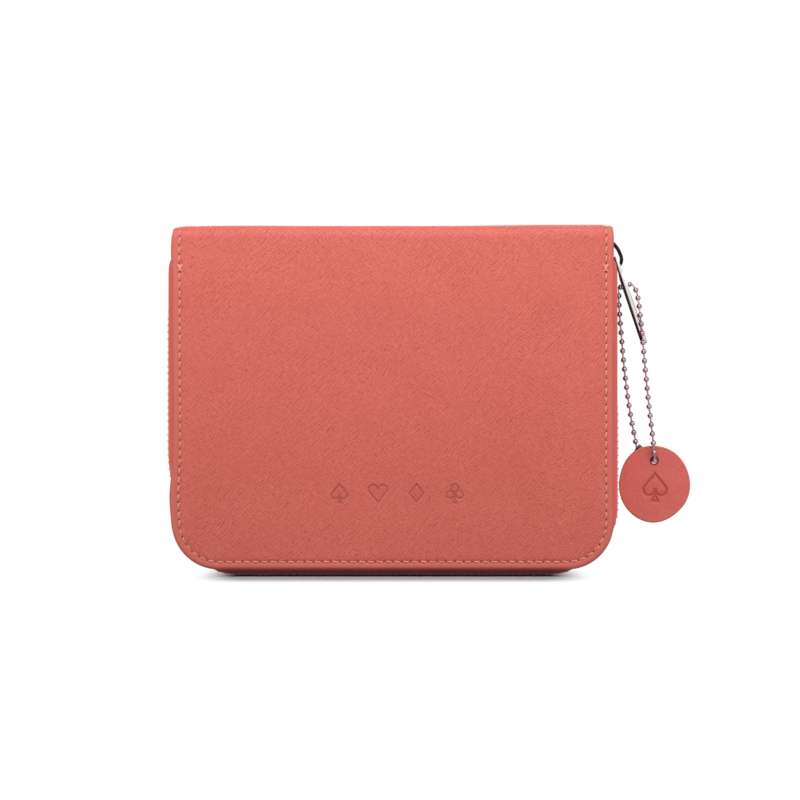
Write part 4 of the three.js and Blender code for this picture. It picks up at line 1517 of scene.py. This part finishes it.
def fit_metal(look: Finishes) -> list[Piece]:
    """Rounds and plates the slider, the puller and the zip's stops.

    Args:
        look: The case's finishes.

    Returns:
        The pieces.
    """
    return [
        Fitting("slider_outer_plate", "slider_face", "slider", "plated_slider", 0.3).build(look.dark_plate),
        Fitting("slider_inner_plate", "slider_underside", "slider", "plated_slider", 0.3).build(look.plate),
        Fitting("slider_bail", "slider_arch", "slider", "plated_slider", 0.34).build(look.dark_plate),
        Fitting("zip_puller", "puller_plate", "puller", "plated_slider", 0.32).build(look.puller),
        Fitting("back_top_stop", "back_end_stop", "back", "zip_teeth", 0.3).build(look.teeth),
        Fitting("front_top_stop", "front_end_stop", "front", "zip_teeth", 0.3).build(look.teeth),
        Fitting("zip_bottom_stop", "start_stop", "back", "zip_teeth", 0.35).build(look.teeth),
    ]


# What hangs from the slider


def closed_curve(points: Array, fineness: int = 40) -> Array:
    """A smooth closed curve through points: centripetal Catmull-Rom cubics.

    Each span is the cubic whose end slopes come from its neighbours, timed by the square root of
    the distances between them.

    Args:
        points: The points that it goes through.
        fineness: Steps to a span.

    Returns:
        Points along the curve, the first one repeated at the end.
    """
    p = [np.roll(points, shift, 0) for shift in (1, 0, -1, -2)]
    d = [np.linalg.norm(b - a, axis=-1, keepdims=True) ** 0.5 for a, b in zip(p, p[1:])]
    slopes = [
        (p[k + 1] - p[k]) / d[k] - (p[k + 2] - p[k]) / (d[k] + d[k + 1]) + (p[k + 2] - p[k + 1]) / d[k + 1]
        for k in (0, 1)
    ]
    first, last = slopes[0] * d[1], slopes[1] * d[1]
    t = (np.arange(fineness) / fineness)[None, :, None]
    cubic = (
        p[1][:, None]
        + first[:, None] * t
        + (-3 * p[1] + 3 * p[2] - 2 * first - last)[:, None] * t**2
        + (2 * p[1] - 2 * p[2] + first + last)[:, None] * t**3
    ).reshape(-1, 3)
    return np.vstack([cubic, cubic[:1]])


@dataclass
class BeadChain:
    """The closed loop of hollow beads on short links, and the tube that joins its ends.

    The front and back strands are places below the puller's hole, as shares of the chain's drop. A
    bead's stations are shares of its radius, and the clasp's profile is places along it and radii.
    """

    finishes: Finishes
    hole: Place = (85.1004, 0.0, 105.7685)
    drop: float = 63.95
    bead: float = 1.0
    pitch: float = 3.37
    link: float = 0.3
    collar: float = 0.38
    beside_puller: float = 1.95
    tag_half: float = 1.1
    connector: Place = (0.1071, 2.95, -0.9548)
    slope: Place = (-0.788, 0.0, 0.616)
    connector_half: float = 3.0
    front_shares: tuple = (
        (0.0574, -0.011, -0.0166), (0.0711, -0.033, -0.0647), (0.0774, -0.056, -0.1188),
        (0.0829, -0.0705, -0.172), (0.0929, -0.075, -0.272), (0.1118, -0.069, -0.48),
        (0.1342, -0.052, -0.69), (0.1564, -0.0385, -0.868), (0.166, -0.0368, -0.965),
        (0.1668, -0.031, -0.992),
    )
    back_shares: tuple = (
        (0.061, 0.041, -0.88), (0.0327, 0.03, -0.7334), (0.0028, 0.016, -0.5254),
        (-0.0224, 0.006, -0.2658), (-0.0344, 0.002, -0.1095), (-0.0352, 0, -0.055),
    )
    tag_hole_share: Place = (0.1668, 0.0, -1.0)
    bead_shares: tuple = (0.2, 0.5, 0.74, 0.9, 0.97, 1.03)
    clasp_half: tuple = (
        (0.0, 1.6), (0.5, 1.56), (2.2, 1.5), (2.45, 1.6), (2.85, 1.6), (3.0, 1.45), (3.0, 1.25)
    )

    def connector_middle(self) -> Array:
        """Where the connector is, from the puller's hole."""
        return np.array(self.connector) * (self.drop, 1, self.drop)

    def route(self) -> Array:
        """The loop's middle line, from the puller's hole down the front and up the back.

        Returns:
            Points along it, the first one repeated at the end.
        """
        through = np.array([math.cos(LEAN), 0, math.sin(LEAN)]) * self.beside_puller
        hole = np.array(self.tag_hole_share) * self.drop
        aside = np.array([0, self.tag_half, 0])
        middle, slope = self.connector_middle(), np.array(self.slope) * self.connector_half
        front, back = (np.array(shares) * self.drop for shares in (self.front_shares, self.back_shares))
        ends = hole - aside, hole + aside, middle - slope, middle, middle + slope
        return closed_curve(np.array([0 * hole, through, *front, *ends, *back, -through]) + self.hole)

    def build(self) -> list[Piece]:
        """Strings the beads: a round section whose radius follows each bead's sphere, its collar
        and the link between. Then turns the connector.

        Returns:
            The chain and its connector.
        """
        route = self.route()
        length = lengths(route)
        count = round(length[-1] / self.pitch)
        where = (np.arange(count) + 0.5) / count * length[-1]
        near = 0.1
        ahead, behind = (looked_up(where + step, length, route) for step in (near, -near))
        middle, way = looked_up(where, length, route), unit(ahead - behind)
        first = unit(np.cross(way, [1.0, 1.0, 1.0]))
        second = np.cross(first, way)
        half = np.array(self.bead_shares)
        along = np.concatenate([-half[::-1], half])
        sphere = np.sqrt(np.clip(1 - (along * 0.995) ** 2, 0, 1))
        radius = np.maximum(sphere, self.collar) * self.bead
        radius[[0, -1]] = self.link
        around = (radius[:, None, None] * circle(14))[None, ..., None]
        points = (
            middle[:, None, None]
            + (along * self.bead)[:, None, None] * way[:, None, None]
            + around[..., 0, :] * first[:, None, None]
            + around[..., 1, :] * second[:, None, None]
        )
        draft = Draft()
        draft.hoop(points.reshape(-1, *points.shape[2:]))
        chain = draft.piece("ball_chain", self.finishes.beads, "plated_chain", 40)
        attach(chain, "chain")
        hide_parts("bead_chain")
        return [chain, self.clasp()]

    def clasp(self) -> Piece:
        """Turns the connector: a tube with rolled ends and a waist at each of its two beads.

        Returns:
            The piece.
        """
        half = np.array(self.clasp_half)
        bore = [[0, half[-1, 1]]]
        profile = np.concatenate([half[:0:-1] * (-1, 1), half, bore])
        slope, first = unit(np.array(self.slope)), np.array([0.0, 1.0, 0.0])
        ring = circle(28)
        around = ring[:, :1] * first + ring[:, 1:] * np.cross(slope, first)
        middle = self.hole + self.connector_middle()
        draft = Draft()
        draft.hoop(middle + profile[:, None, :1] * slope + profile[:, None, 1:] * around)
        piece = draft.piece("chain_clasp", self.finishes.clasp, "plated_chain", 40)
        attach(piece, "chain")
        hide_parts("chain_connector")
        return piece


@dataclass
class Tag:
    """The round leather tag: a hand-cut disc with a hole, and a suit pressed in its front."""

    finishes: Finishes
    hole: Place = (95.7673, 0.0, 41.8185)
    width: float = 26.0
    height: float = 28.2
    thickness: float = 2.2
    hole_radius: float = 1.16
    drop: float = 8.6
    soft: float = 0.5
    lip: float = 0.4
    sunk: float = 0.06
    cup: float = 0.05
    depth: float = 0.34
    suit: Suit = Suit.SPADE
    suit_half: float = 5.4
    suit_place: tuple[float, float] = (0.2, -9.8)
    turns: int = 400
    rings: int = 90

    def outline(self, turn: Array) -> tuple[Array, Array]:
        """The cut edge: an ellipse whose size ripples by two sine waves."""
        size = 1 + 0.012 * np.sin(3 * turn + 1.6) + 0.007 * np.sin(5 * turn + 3.1)
        return self.width / 2 * size * np.cos(turn), self.height / 2 * size * np.sin(turn) - self.drop

    def pressed(self, across: Array, upwards: Array) -> Array:
        """How deep the suit is pressed in: a groove along its outline, less inside.

        Args:
            across: Places to the right of the hole.
            upwards: Places above the hole.

        Returns:
            The share of the full depth.
        """
        x, z = across - self.suit_place[0], upwards - self.suit_place[1]
        inside = suit_depth(self.suit, x / self.suit_half, z / self.suit_half) * self.suit_half
        return np.clip(bell(inside, 0.3, 0.46) + 0.12 * eased(inside, 0.1, 0.9), 0, 1)

    def build(self) -> Piece:
        """Builds the tag from rays between the hole and the cut edge.

        Each ray goes over the front from the hole's rounded lip to the edge's, round the edge, and
        back over the rear; the rays close round the hole.

        Returns:
            The piece.
        """
        edge_x, edge_z = self.outline(np.arange(self.turns) * ROUND / self.turns)
        angle = np.arctan2(edge_z, edge_x)
        hole_x, hole_z = self.hole_radius * np.cos(angle), self.hole_radius * np.sin(angle)
        reach = np.hypot(edge_x - hole_x, edge_z - hole_z)[:, None]
        face = np.linspace(0, 1, self.rings)[1:-1]
        bend = np.linspace(0, QUARTER, 6)
        half, soft, lip = self.thickness / 2, self.soft, self.lip
        flat = lip + (reach - lip - soft) * face
        along = np.hstack([lip * (1 - np.cos(bend)) + 0 * reach, flat, reach - soft * (1 - np.sin(bend))])
        lip_level, edge_level = half - lip * (1 - np.sin(bend)), half - soft * (1 - np.cos(bend))
        level = np.concatenate([lip_level, np.full(len(face), half), edge_level])
        share = along / reach
        x = hole_x[:, None] + (edge_x - hole_x)[:, None] * share
        z = hole_z[:, None] + (edge_z - hole_z)[:, None] * share
        inside = eased(np.minimum(along, reach - along), 0.2, 1.2)
        stamped = self.pressed(x, z) * inside
        level = level - (self.sunk + self.cup * ripple(x * 2, z * 2, 3.0) * inside) * inside
        front, rear = joined(x, self.depth * stamped - level, z), joined(x, level, z)
        loop = np.concatenate([front, rear[:, ::-1]], 1) + self.hole
        # Painted shade on the hole's wall and lip, where the hole lies in shadow
        burnt = 2.2 * (1 - eased(along, 0.25, 0.75))
        press = np.concatenate([stamped + burnt, burnt[:, ::-1]], 1)
        draft = Draft()
        draft.hoop(loop.transpose(1, 0, 2), seam=joined(0.0, 0.0, press.T))
        piece = draft.piece("round_tag", self.finishes.tag, "tag_leather")
        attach(piece, "tag")
        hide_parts("leather_tag")
        return piece


# The inside


@dataclass
class Lining:
    """A leaf's lining with its half of the spine's, as one sheet round the inner fold."""

    finishes: Finishes
    half_width: float = 76.2
    spine_half: float = 73.5
    spine_reach: float = 78.3
    bottom: float = 6.4
    inside: float = 13.3
    fold_top: float = 121.3
    spine_under: float = 122.6
    thickness: float = 0.8
    corner: float = 13.2
    taper_start: float = 108.0
    padding: float = 0.1

    def sheet(self, side: Side, share_x: Array, plan: Array, lift: float) -> Array:
        """A face of the lining: up the leaf, round a small quarter circle, and in under the spine.

        Args:
            side: Which leaf.
            share_x: Places to the right, as shares of the sheet's half width.
            plan: Heights up the unrolled sheet.
            lift: 0 for the face that shows, or the thickness for the hidden one.

        Returns:
            Points by X, Y, Z.
        """
        radius = self.spine_under - self.fold_top
        low = np.clip(plan - self.bottom, 0, self.corner)
        cut = self.corner - np.sqrt(np.clip(self.corner**2 - (self.corner - low) ** 2, 0, None))
        narrow = (self.half_width - self.spine_half) * eased(plan, self.taper_start, self.fold_top - 1)
        spread = eased(plan, self.fold_top + 0.6, self.fold_top + 3.4)
        half = self.half_width - cut - narrow + (self.spine_reach - self.spine_half) * spread
        turn = np.clip((plan - self.fold_top) / radius, 0, QUARTER)
        flat = np.clip(plan - self.fold_top - radius * QUARTER, 0, None)
        y = self.inside - radius + (radius + lift) * np.cos(turn) - flat
        z = np.minimum(plan, self.fold_top) + (radius + lift) * np.sin(turn)
        x = half * share_x
        if lift == 0:
            upright = eased(plan, 9, 16) * (1 - eased(plan, 112, 119))
            y = y - self.padding * eased(half - np.abs(x), 1.5, 7) * upright
        return joined(x, side.value * y, z)

    def build(self, side: Side) -> Piece:
        """Builds one lining, its two faces joined round their edge.

        Args:
            side: Which leaf.

        Returns:
            The piece.
        """
        radius, fold = self.spine_under - self.fold_top, self.fold_top
        end = fold + radius * QUARTER + self.inside - radius
        low = self.bottom + self.corner * (1 - np.cos(np.linspace(0, QUARTER, 15)))
        high = graded(low[-1], (self.taper_start, 3), (fold, 1.2), (fold + 3, 0.3), (end, 1.5))
        plan = np.unique(np.concatenate([low, high]).round(6))
        shares, plans = np.meshgrid(np.sin(np.linspace(-QUARTER, QUARTER, 61)), plan)
        draft = Draft()
        draft.sheet(*(self.sheet(side, shares, plans, lift) for lift in (0.0, self.thickness)))
        piece = draft.piece(f"{side.body}_lining_sheet", self.finishes.lining, "lining_leather", 60)
        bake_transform(piece)
        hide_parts(f"{side.body}_lining", "spine_lining")
        return piece


@dataclass(frozen=True)
class Pocket:
    """One leather pocket on a lining, in millimetres. Middle and base place it."""

    name: str
    node: str
    side: Side
    middle: float
    room: float
    depth: float
    base: float
    height: float
    notch: float
    corner: float = 2.5
    flange: float = 3.5
    wall: float = 1.2
    inside: float = 13.3
    seat: float = 0.1
    play: float = 0.05
    sag: float = 0.21
    slim: float = 40.0

    def section(self, lift: float) -> Array:
        """The section: a flange, a side, a rounded corner, the front, and the same again.

        Args:
            lift: 0 for its outer face, or the wall's thickness for its inner one.

        Returns:
            Distances to the right and away from the lining.
        """
        half = self.room / 2 + self.wall - lift
        front = self.seat + self.depth + self.wall - lift
        radius = max(self.corner - lift, 0.3)
        foot = self.seat + self.wall - lift
        flange = [self.room / 2 + self.wall + self.flange, foot]
        flank = np.linspace(foot + 0.4, front - radius, 8)[:-1]
        right = np.concatenate(
            [
                [flange, [half + 0.8, foot], [half + 0.15, foot + 0.12]],
                joined(half, flank),
                rounded(half, front, radius, 7),
            ]
        )
        across = np.linspace(half - radius, radius - half, 42)[1:-1]
        bulge = self.sag * np.cos(across / half * QUARTER) * (self.room > self.slim)
        return np.concatenate([right, joined(across, front + bulge), right[::-1] * (-1, 1)])

    def finished(self, draft: Draft, finishes: Finishes) -> Piece:
        """Dresses the pocket and sets it on its leaf.

        Args:
            draft: Its mesh.
            finishes: The case's finishes.

        Returns:
            The piece.
        """
        piece = draft.piece(self.name, finishes.tag, "cover_leather", 50)
        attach(piece, self.side.body)
        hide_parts(self.node)
        return piece

    def sew(self, finishes: Finishes) -> Piece:
        """Builds the pocket: its section drawn up from its base to its lip, which dips round a notch.

        Args:
            finishes: The case's finishes.

        Returns:
            The piece.
        """
        outer, inner = self.section(0.0), self.section(self.wall)
        notch = np.sqrt(np.clip(self.notch**2 - outer[:, 0] ** 2, 0, None))
        top = self.height - np.where(outer[:, 1] > self.depth * 0.9, notch, 0.0)
        share = np.concatenate([np.linspace(0, 0.9, 12), [0.96, 0.985, 0.996, 1.0]])
        height = self.base + share[:, None] * top
        lip = np.array([0.0] * 14 + [0.1, 0.35])[:, None] * self.wall
        draft = Draft()
        draft.sheet(
            joined(self.middle + outer[:, 0], self.side.value * (self.inside - outer[:, 1] + lip), height),
            joined(self.middle + inner[:, 0], self.side.value * (self.inside - inner[:, 1]), height),
        )
        return self.finished(draft, finishes)

    def floor(self, finishes: Finishes) -> Piece:
        """Builds the pocket's floor: a plate with rounded front corners.

        Args:
            finishes: The case's finishes.

        Returns:
            The piece.
        """
        half = self.room / 2 - self.play
        corner = rounded(half, self.depth + self.play, self.wall, 6)
        right = np.concatenate([[[half, self.seat + self.play]], corner])
        outline = np.concatenate([right, right[::-1] * (-1, 1)])
        levels = self.base + np.array([[0.0], [self.wall]])
        across, back = self.middle + outline[:, 0], self.side.value * (self.inside - outline[:, 1])
        draft = Draft()
        draft.copies(joined(across, back, levels)[None])
        piece = draft.piece(f"{self.name}_floor", finishes.tag, "cover_leather", 40)
        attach(piece, self.side.body)
        return piece

    def strap(self, finishes: Finishes) -> Piece:
        """Builds the pencil's strap: the section turned to run along the spine.

        Here base is where it starts on the right, height is its width, and middle is how high it is.

        Args:
            finishes: The case's finishes.

        Returns:
            The piece.
        """
        levels = np.concatenate([[0, 0.15, 0.4], np.linspace(2, self.height - 2, 8)])
        levels = np.concatenate([levels, self.height - np.array([0.4, 0.15, 0.0])])[:, None]
        lip = np.array([0.175, 0.05] + [0.0] * 10 + [0.05, 0.175])[:, None]
        draft = Draft()
        faces = []
        for line, away in ((self.section(0.0), lip), (self.section(self.wall), 0.0)):
            back = self.side.value * (self.inside - line[:, 1] + away)
            faces.append(joined(self.base + levels, back, self.middle + line[:, 0]))
        draft.sheet(*faces)
        return self.finished(draft, finishes)


def sew_pockets(finishes: Finishes) -> list[Piece]:
    """Builds the deck pockets and the score pad's pocket with their floors, and the pencil's strap.

    Args:
        finishes: The case's finishes.

    Returns:
        The pieces.
    """
    pockets = [
        Pocket("left_deck_pocket", "deck_pocket_left", Side.BACK, -35.2, 60, 18.5, 12, 78, 11),
        Pocket("right_deck_pocket", "deck_pocket_right", Side.BACK, 35.2, 60, 18.5, 12, 78, 11),
        Pocket("pad_pocket", "score_pad_pocket", Side.FRONT, 0, 112, 4.4, 14, 72, 14),
    ]
    made = [pocket.sew(finishes) for pocket in pockets] + [pocket.floor(finishes) for pocket in pockets]
    strap = Pocket("pencil_strap", "pencil_loop", Side.FRONT, 113.0, 6.6, 6.6, 32, 22, 0, 4.5)
    return [*made, strap.strap(finishes)]


# The studio, in metres


@dataclass(frozen=True)
class Lamp:
    """A square soft lamp: where it hangs, what it points at, its side, and its power in watts."""

    name: str
    place: Place
    aim: Place
    size: float
    power: float

    def hang(self) -> None:
        """Hangs the lamp."""
        data = bpy.data.lights.new(self.name, "AREA")
        data.size, data.energy = self.size, self.power
        lamp = bpy.data.objects.new(self.name, data)
        x, y, z = np.array(self.aim) - np.array(self.place)
        lamp.location = self.place
        lamp.rotation_euler = (math.atan2(math.hypot(x, y), -z), 0, math.atan2(x, -y) + math.pi)
        bpy.context.scene.collection.objects.link(lamp)


@dataclass
class Studio:
    """A white room: its floor, soft lamps before, beside and behind the case, black cards that only
    metal mirrors, a flag that keeps the lamps off the case's foot, and the camera.

    Side, front, rear, low and high bound the cards, and the window is their gap on each side.
    """

    ambient: float = 0.27
    camera_place: Place = (0.00257, -1.309, 0.064)
    lens: float = 160.6
    sensor: float = 36.0
    clips: tuple[float, float] = (0.05, 30.0)
    floor_reach: float = 6.0
    foot: tuple[float, float] = (0.052, 0.018)
    fade: tuple[float, float] = (0.01, 0.046)
    side: float = 0.45
    front: float = -0.4
    rear: float = 0.9
    low: float = 0.001
    high: float = 0.65
    window: tuple[float, float] = (-0.2, 0.32)
    high_start: float = -0.15
    low_start: float = 0.08
    flag: tuple[Place, Place] = ((-0.09, -0.09, 0.03), (0.055, -0.09, 0.095))
    lamps: tuple[Lamp, ...] = (
        Lamp("front_lamp", (0.02, -0.3, 0.4), (0.0, 0.0, 0.07), 0.4, 1.27),
        Lamp("left_lamp", (-0.55, -0.35, 0.36), (0.0, 0.0, 0.07), 0.4, 1.8),
        Lamp("right_lamp", (0.6, -0.4, 0.36), (0.0, 0.0, 0.07), 0.4, 1.9),
        Lamp("low_lamp", (0.0, -0.6, 0.035), (0.0, 0.0, 0.02), 0.06, 0.09),
        Lamp("back_lamp", (0.0, 0.6, 0.5), (0.0, 0.0, 0.06), 0.6, 4.0),
    )

    def board(self, material: Material, ends: tuple[Place, Place], unseen: str = "", name: str = "") -> None:
        """Puts up a flat rectangle that belongs to the room.

        Args:
            material: Its finish.
            ends: Two opposite corners, which share one coordinate.
            unseen: The kinds of ray that pass it, with spaces between.
            name: Its name, where that isn't its material's.
        """
        name = name or material.name
        low, high = ends
        wide = min(axis for axis in range(3) if low[axis] != high[axis])
        corners = np.array([low, low, high, high], float)
        corners[1, wide], corners[3, wide] = high[wide], low[wide]
        mesh = bpy.data.meshes.new(name)
        mesh.from_pydata(corners.tolist(), [], [(0, 1, 2, 3)])
        mesh.materials.append(material)
        board = bpy.data.objects.new(name, mesh)
        for ray in unseen.split():
            setattr(board, f"visible_{ray}", False)
        bpy.context.scene.collection.objects.link(board)

    def floor(self) -> None:
        """Lays a white floor that keeps the shadow near the case, and is plain white far from it."""
        bench = Bench("white_floor")
        across, back, _ = bench.parts(bench.metres())
        wide, deep = self.foot
        past_side = bench.maths("MAXIMUM", bench.maths("ABSOLUTE", across) - wide, 0.0) * 2.2
        before = bench.maths("MAXIMUM", bench.maths("ABSOLUTE", back) - deep, 0.0)
        away = bench.maths("SQRT", past_side**2.0 + before**2.0)
        mirrored = bench.node("ShaderNodeLightPath", out="Is Glossy Ray")
        seen = bench.node("ShaderNodeLightPath", out="Is Camera Ray") + mirrored
        white = bench.node("ShaderNodeEmission", Color=(1.0, 1.0, 1.0), Strength=1.0)
        lit = bench.node("ShaderNodeBsdfDiffuse", Color=bench.mix(seen, (0.3,) * 3, (0.4, 0.43, 0.435)))
        far = bench.maths("MINIMUM", bench.eased(away, *self.fade) * seen + mirrored * 0.12, 1.0)
        material = bench.end(bench.node("ShaderNodeMixShader", s0=far, s1=lit, s2=white))
        reach = self.floor_reach
        self.board(material, ((-reach, -reach, 0), (reach, reach, 0)), name="floor")

    def card(self, name: str, low: Place, high: Place) -> None:
        """Hangs a black card that only metal mirrors, so that it gets dark rims.

        Args:
            name: Its name.
            low: Its corner before or to the left, at the bottom.
            high: The corner opposite.
        """
        bench = Bench(name)
        material = bench.end(bench.node("ShaderNodeEmission", Color=(0.01,) * 3, Strength=1.0))
        self.board(material, (low, high), "camera diffuse shadow transmission volume_scatter")

    def cards(self) -> None:
        """Hangs the cards: beside the case, but for a window, above, below and behind it."""
        side, low, high = self.side, self.low, self.high
        for name, way in (("left", -side), ("right", side)):
            self.card(f"{name}_fore_card", (way, self.front, low), (way, self.window[0], high))
            self.card(f"{name}_rear_card", (way, self.window[1], low), (way, self.rear, high))
        self.card("high_card", (-side, self.high_start, high), (side, self.rear, high))
        self.card("low_card", (-side, self.low_start, low), (side, self.rear, low))
        self.card("rear_card", (-side, self.rear, low), (side, self.rear, high))

    def world(self) -> None:
        """Lights everything evenly, and shows plain white to the camera, metal and glass."""
        bench = Bench("studio", world=True)
        kinds = ("Is Camera Ray", "Is Glossy Ray", "Is Transmission Ray")
        camera, glossy, through = (bench.node("ShaderNodeLightPath", out=kind) for kind in kinds)
        shown = bench.maths("MINIMUM", camera + glossy + through, 1.0)
        strength = bench.node("ShaderNodeMapRange", Value=shown, To_Min=self.ambient)
        light = bench.node("ShaderNodeBackground", Color=(1.0, 1.0, 1.0), Strength=strength)
        bpy.context.scene.world = bench.end(light, "ShaderNodeOutputWorld")

    def build(self) -> None:
        """Sets up the whole room."""
        camera = bpy.data.cameras.new("camera")
        camera.lens, camera.sensor_width = self.lens, self.sensor
        camera.clip_start, camera.clip_end = self.clips
        seat = bpy.data.objects.new("camera", camera)
        seat.location, seat.rotation_euler = self.camera_place, (QUARTER, 0, 0)
        bpy.context.scene.collection.objects.link(seat)
        bpy.context.scene.camera = seat
        self.floor()
        self.world()
        for lamp in self.lamps:
            lamp.hang()
        self.cards()
        bench = Bench("flag")
        black = bench.end(bench.node("ShaderNodeBsdfDiffuse", Color=(0.0,) * 3))
        self.board(black, self.flag, "camera diffuse glossy transmission volume_scatter")
        view = bpy.context.scene.view_settings
        view.view_transform = "Standard"


def dress_boards(finishes: Finishes) -> None:
    """Gives the hidden boards their own finish.

    Args:
        finishes: The case's finishes.
    """
    for node in ("back_board", "front_board", "spine_board"):
        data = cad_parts[node].data
        data.materials.clear()
        data.materials.append(finishes.board)


def main() -> None:
    """Builds every piece of the case in order, and reports each."""
    logging.basicConfig(level=logging.INFO, format="%(name)s %(message)s")
    Studio().build()
    finishes = Finishes()
    dress_boards(finishes)
    for side in Side:
        for part in (Cover, Seam, ZipTape, ZipTeeth, Lining):
            part(finishes).build(side)
    fit_metal(finishes)
    BeadChain(finishes).build()
    Tag(finishes).build()
    sew_pockets(finishes)


if __name__ == "__main__":
    main()
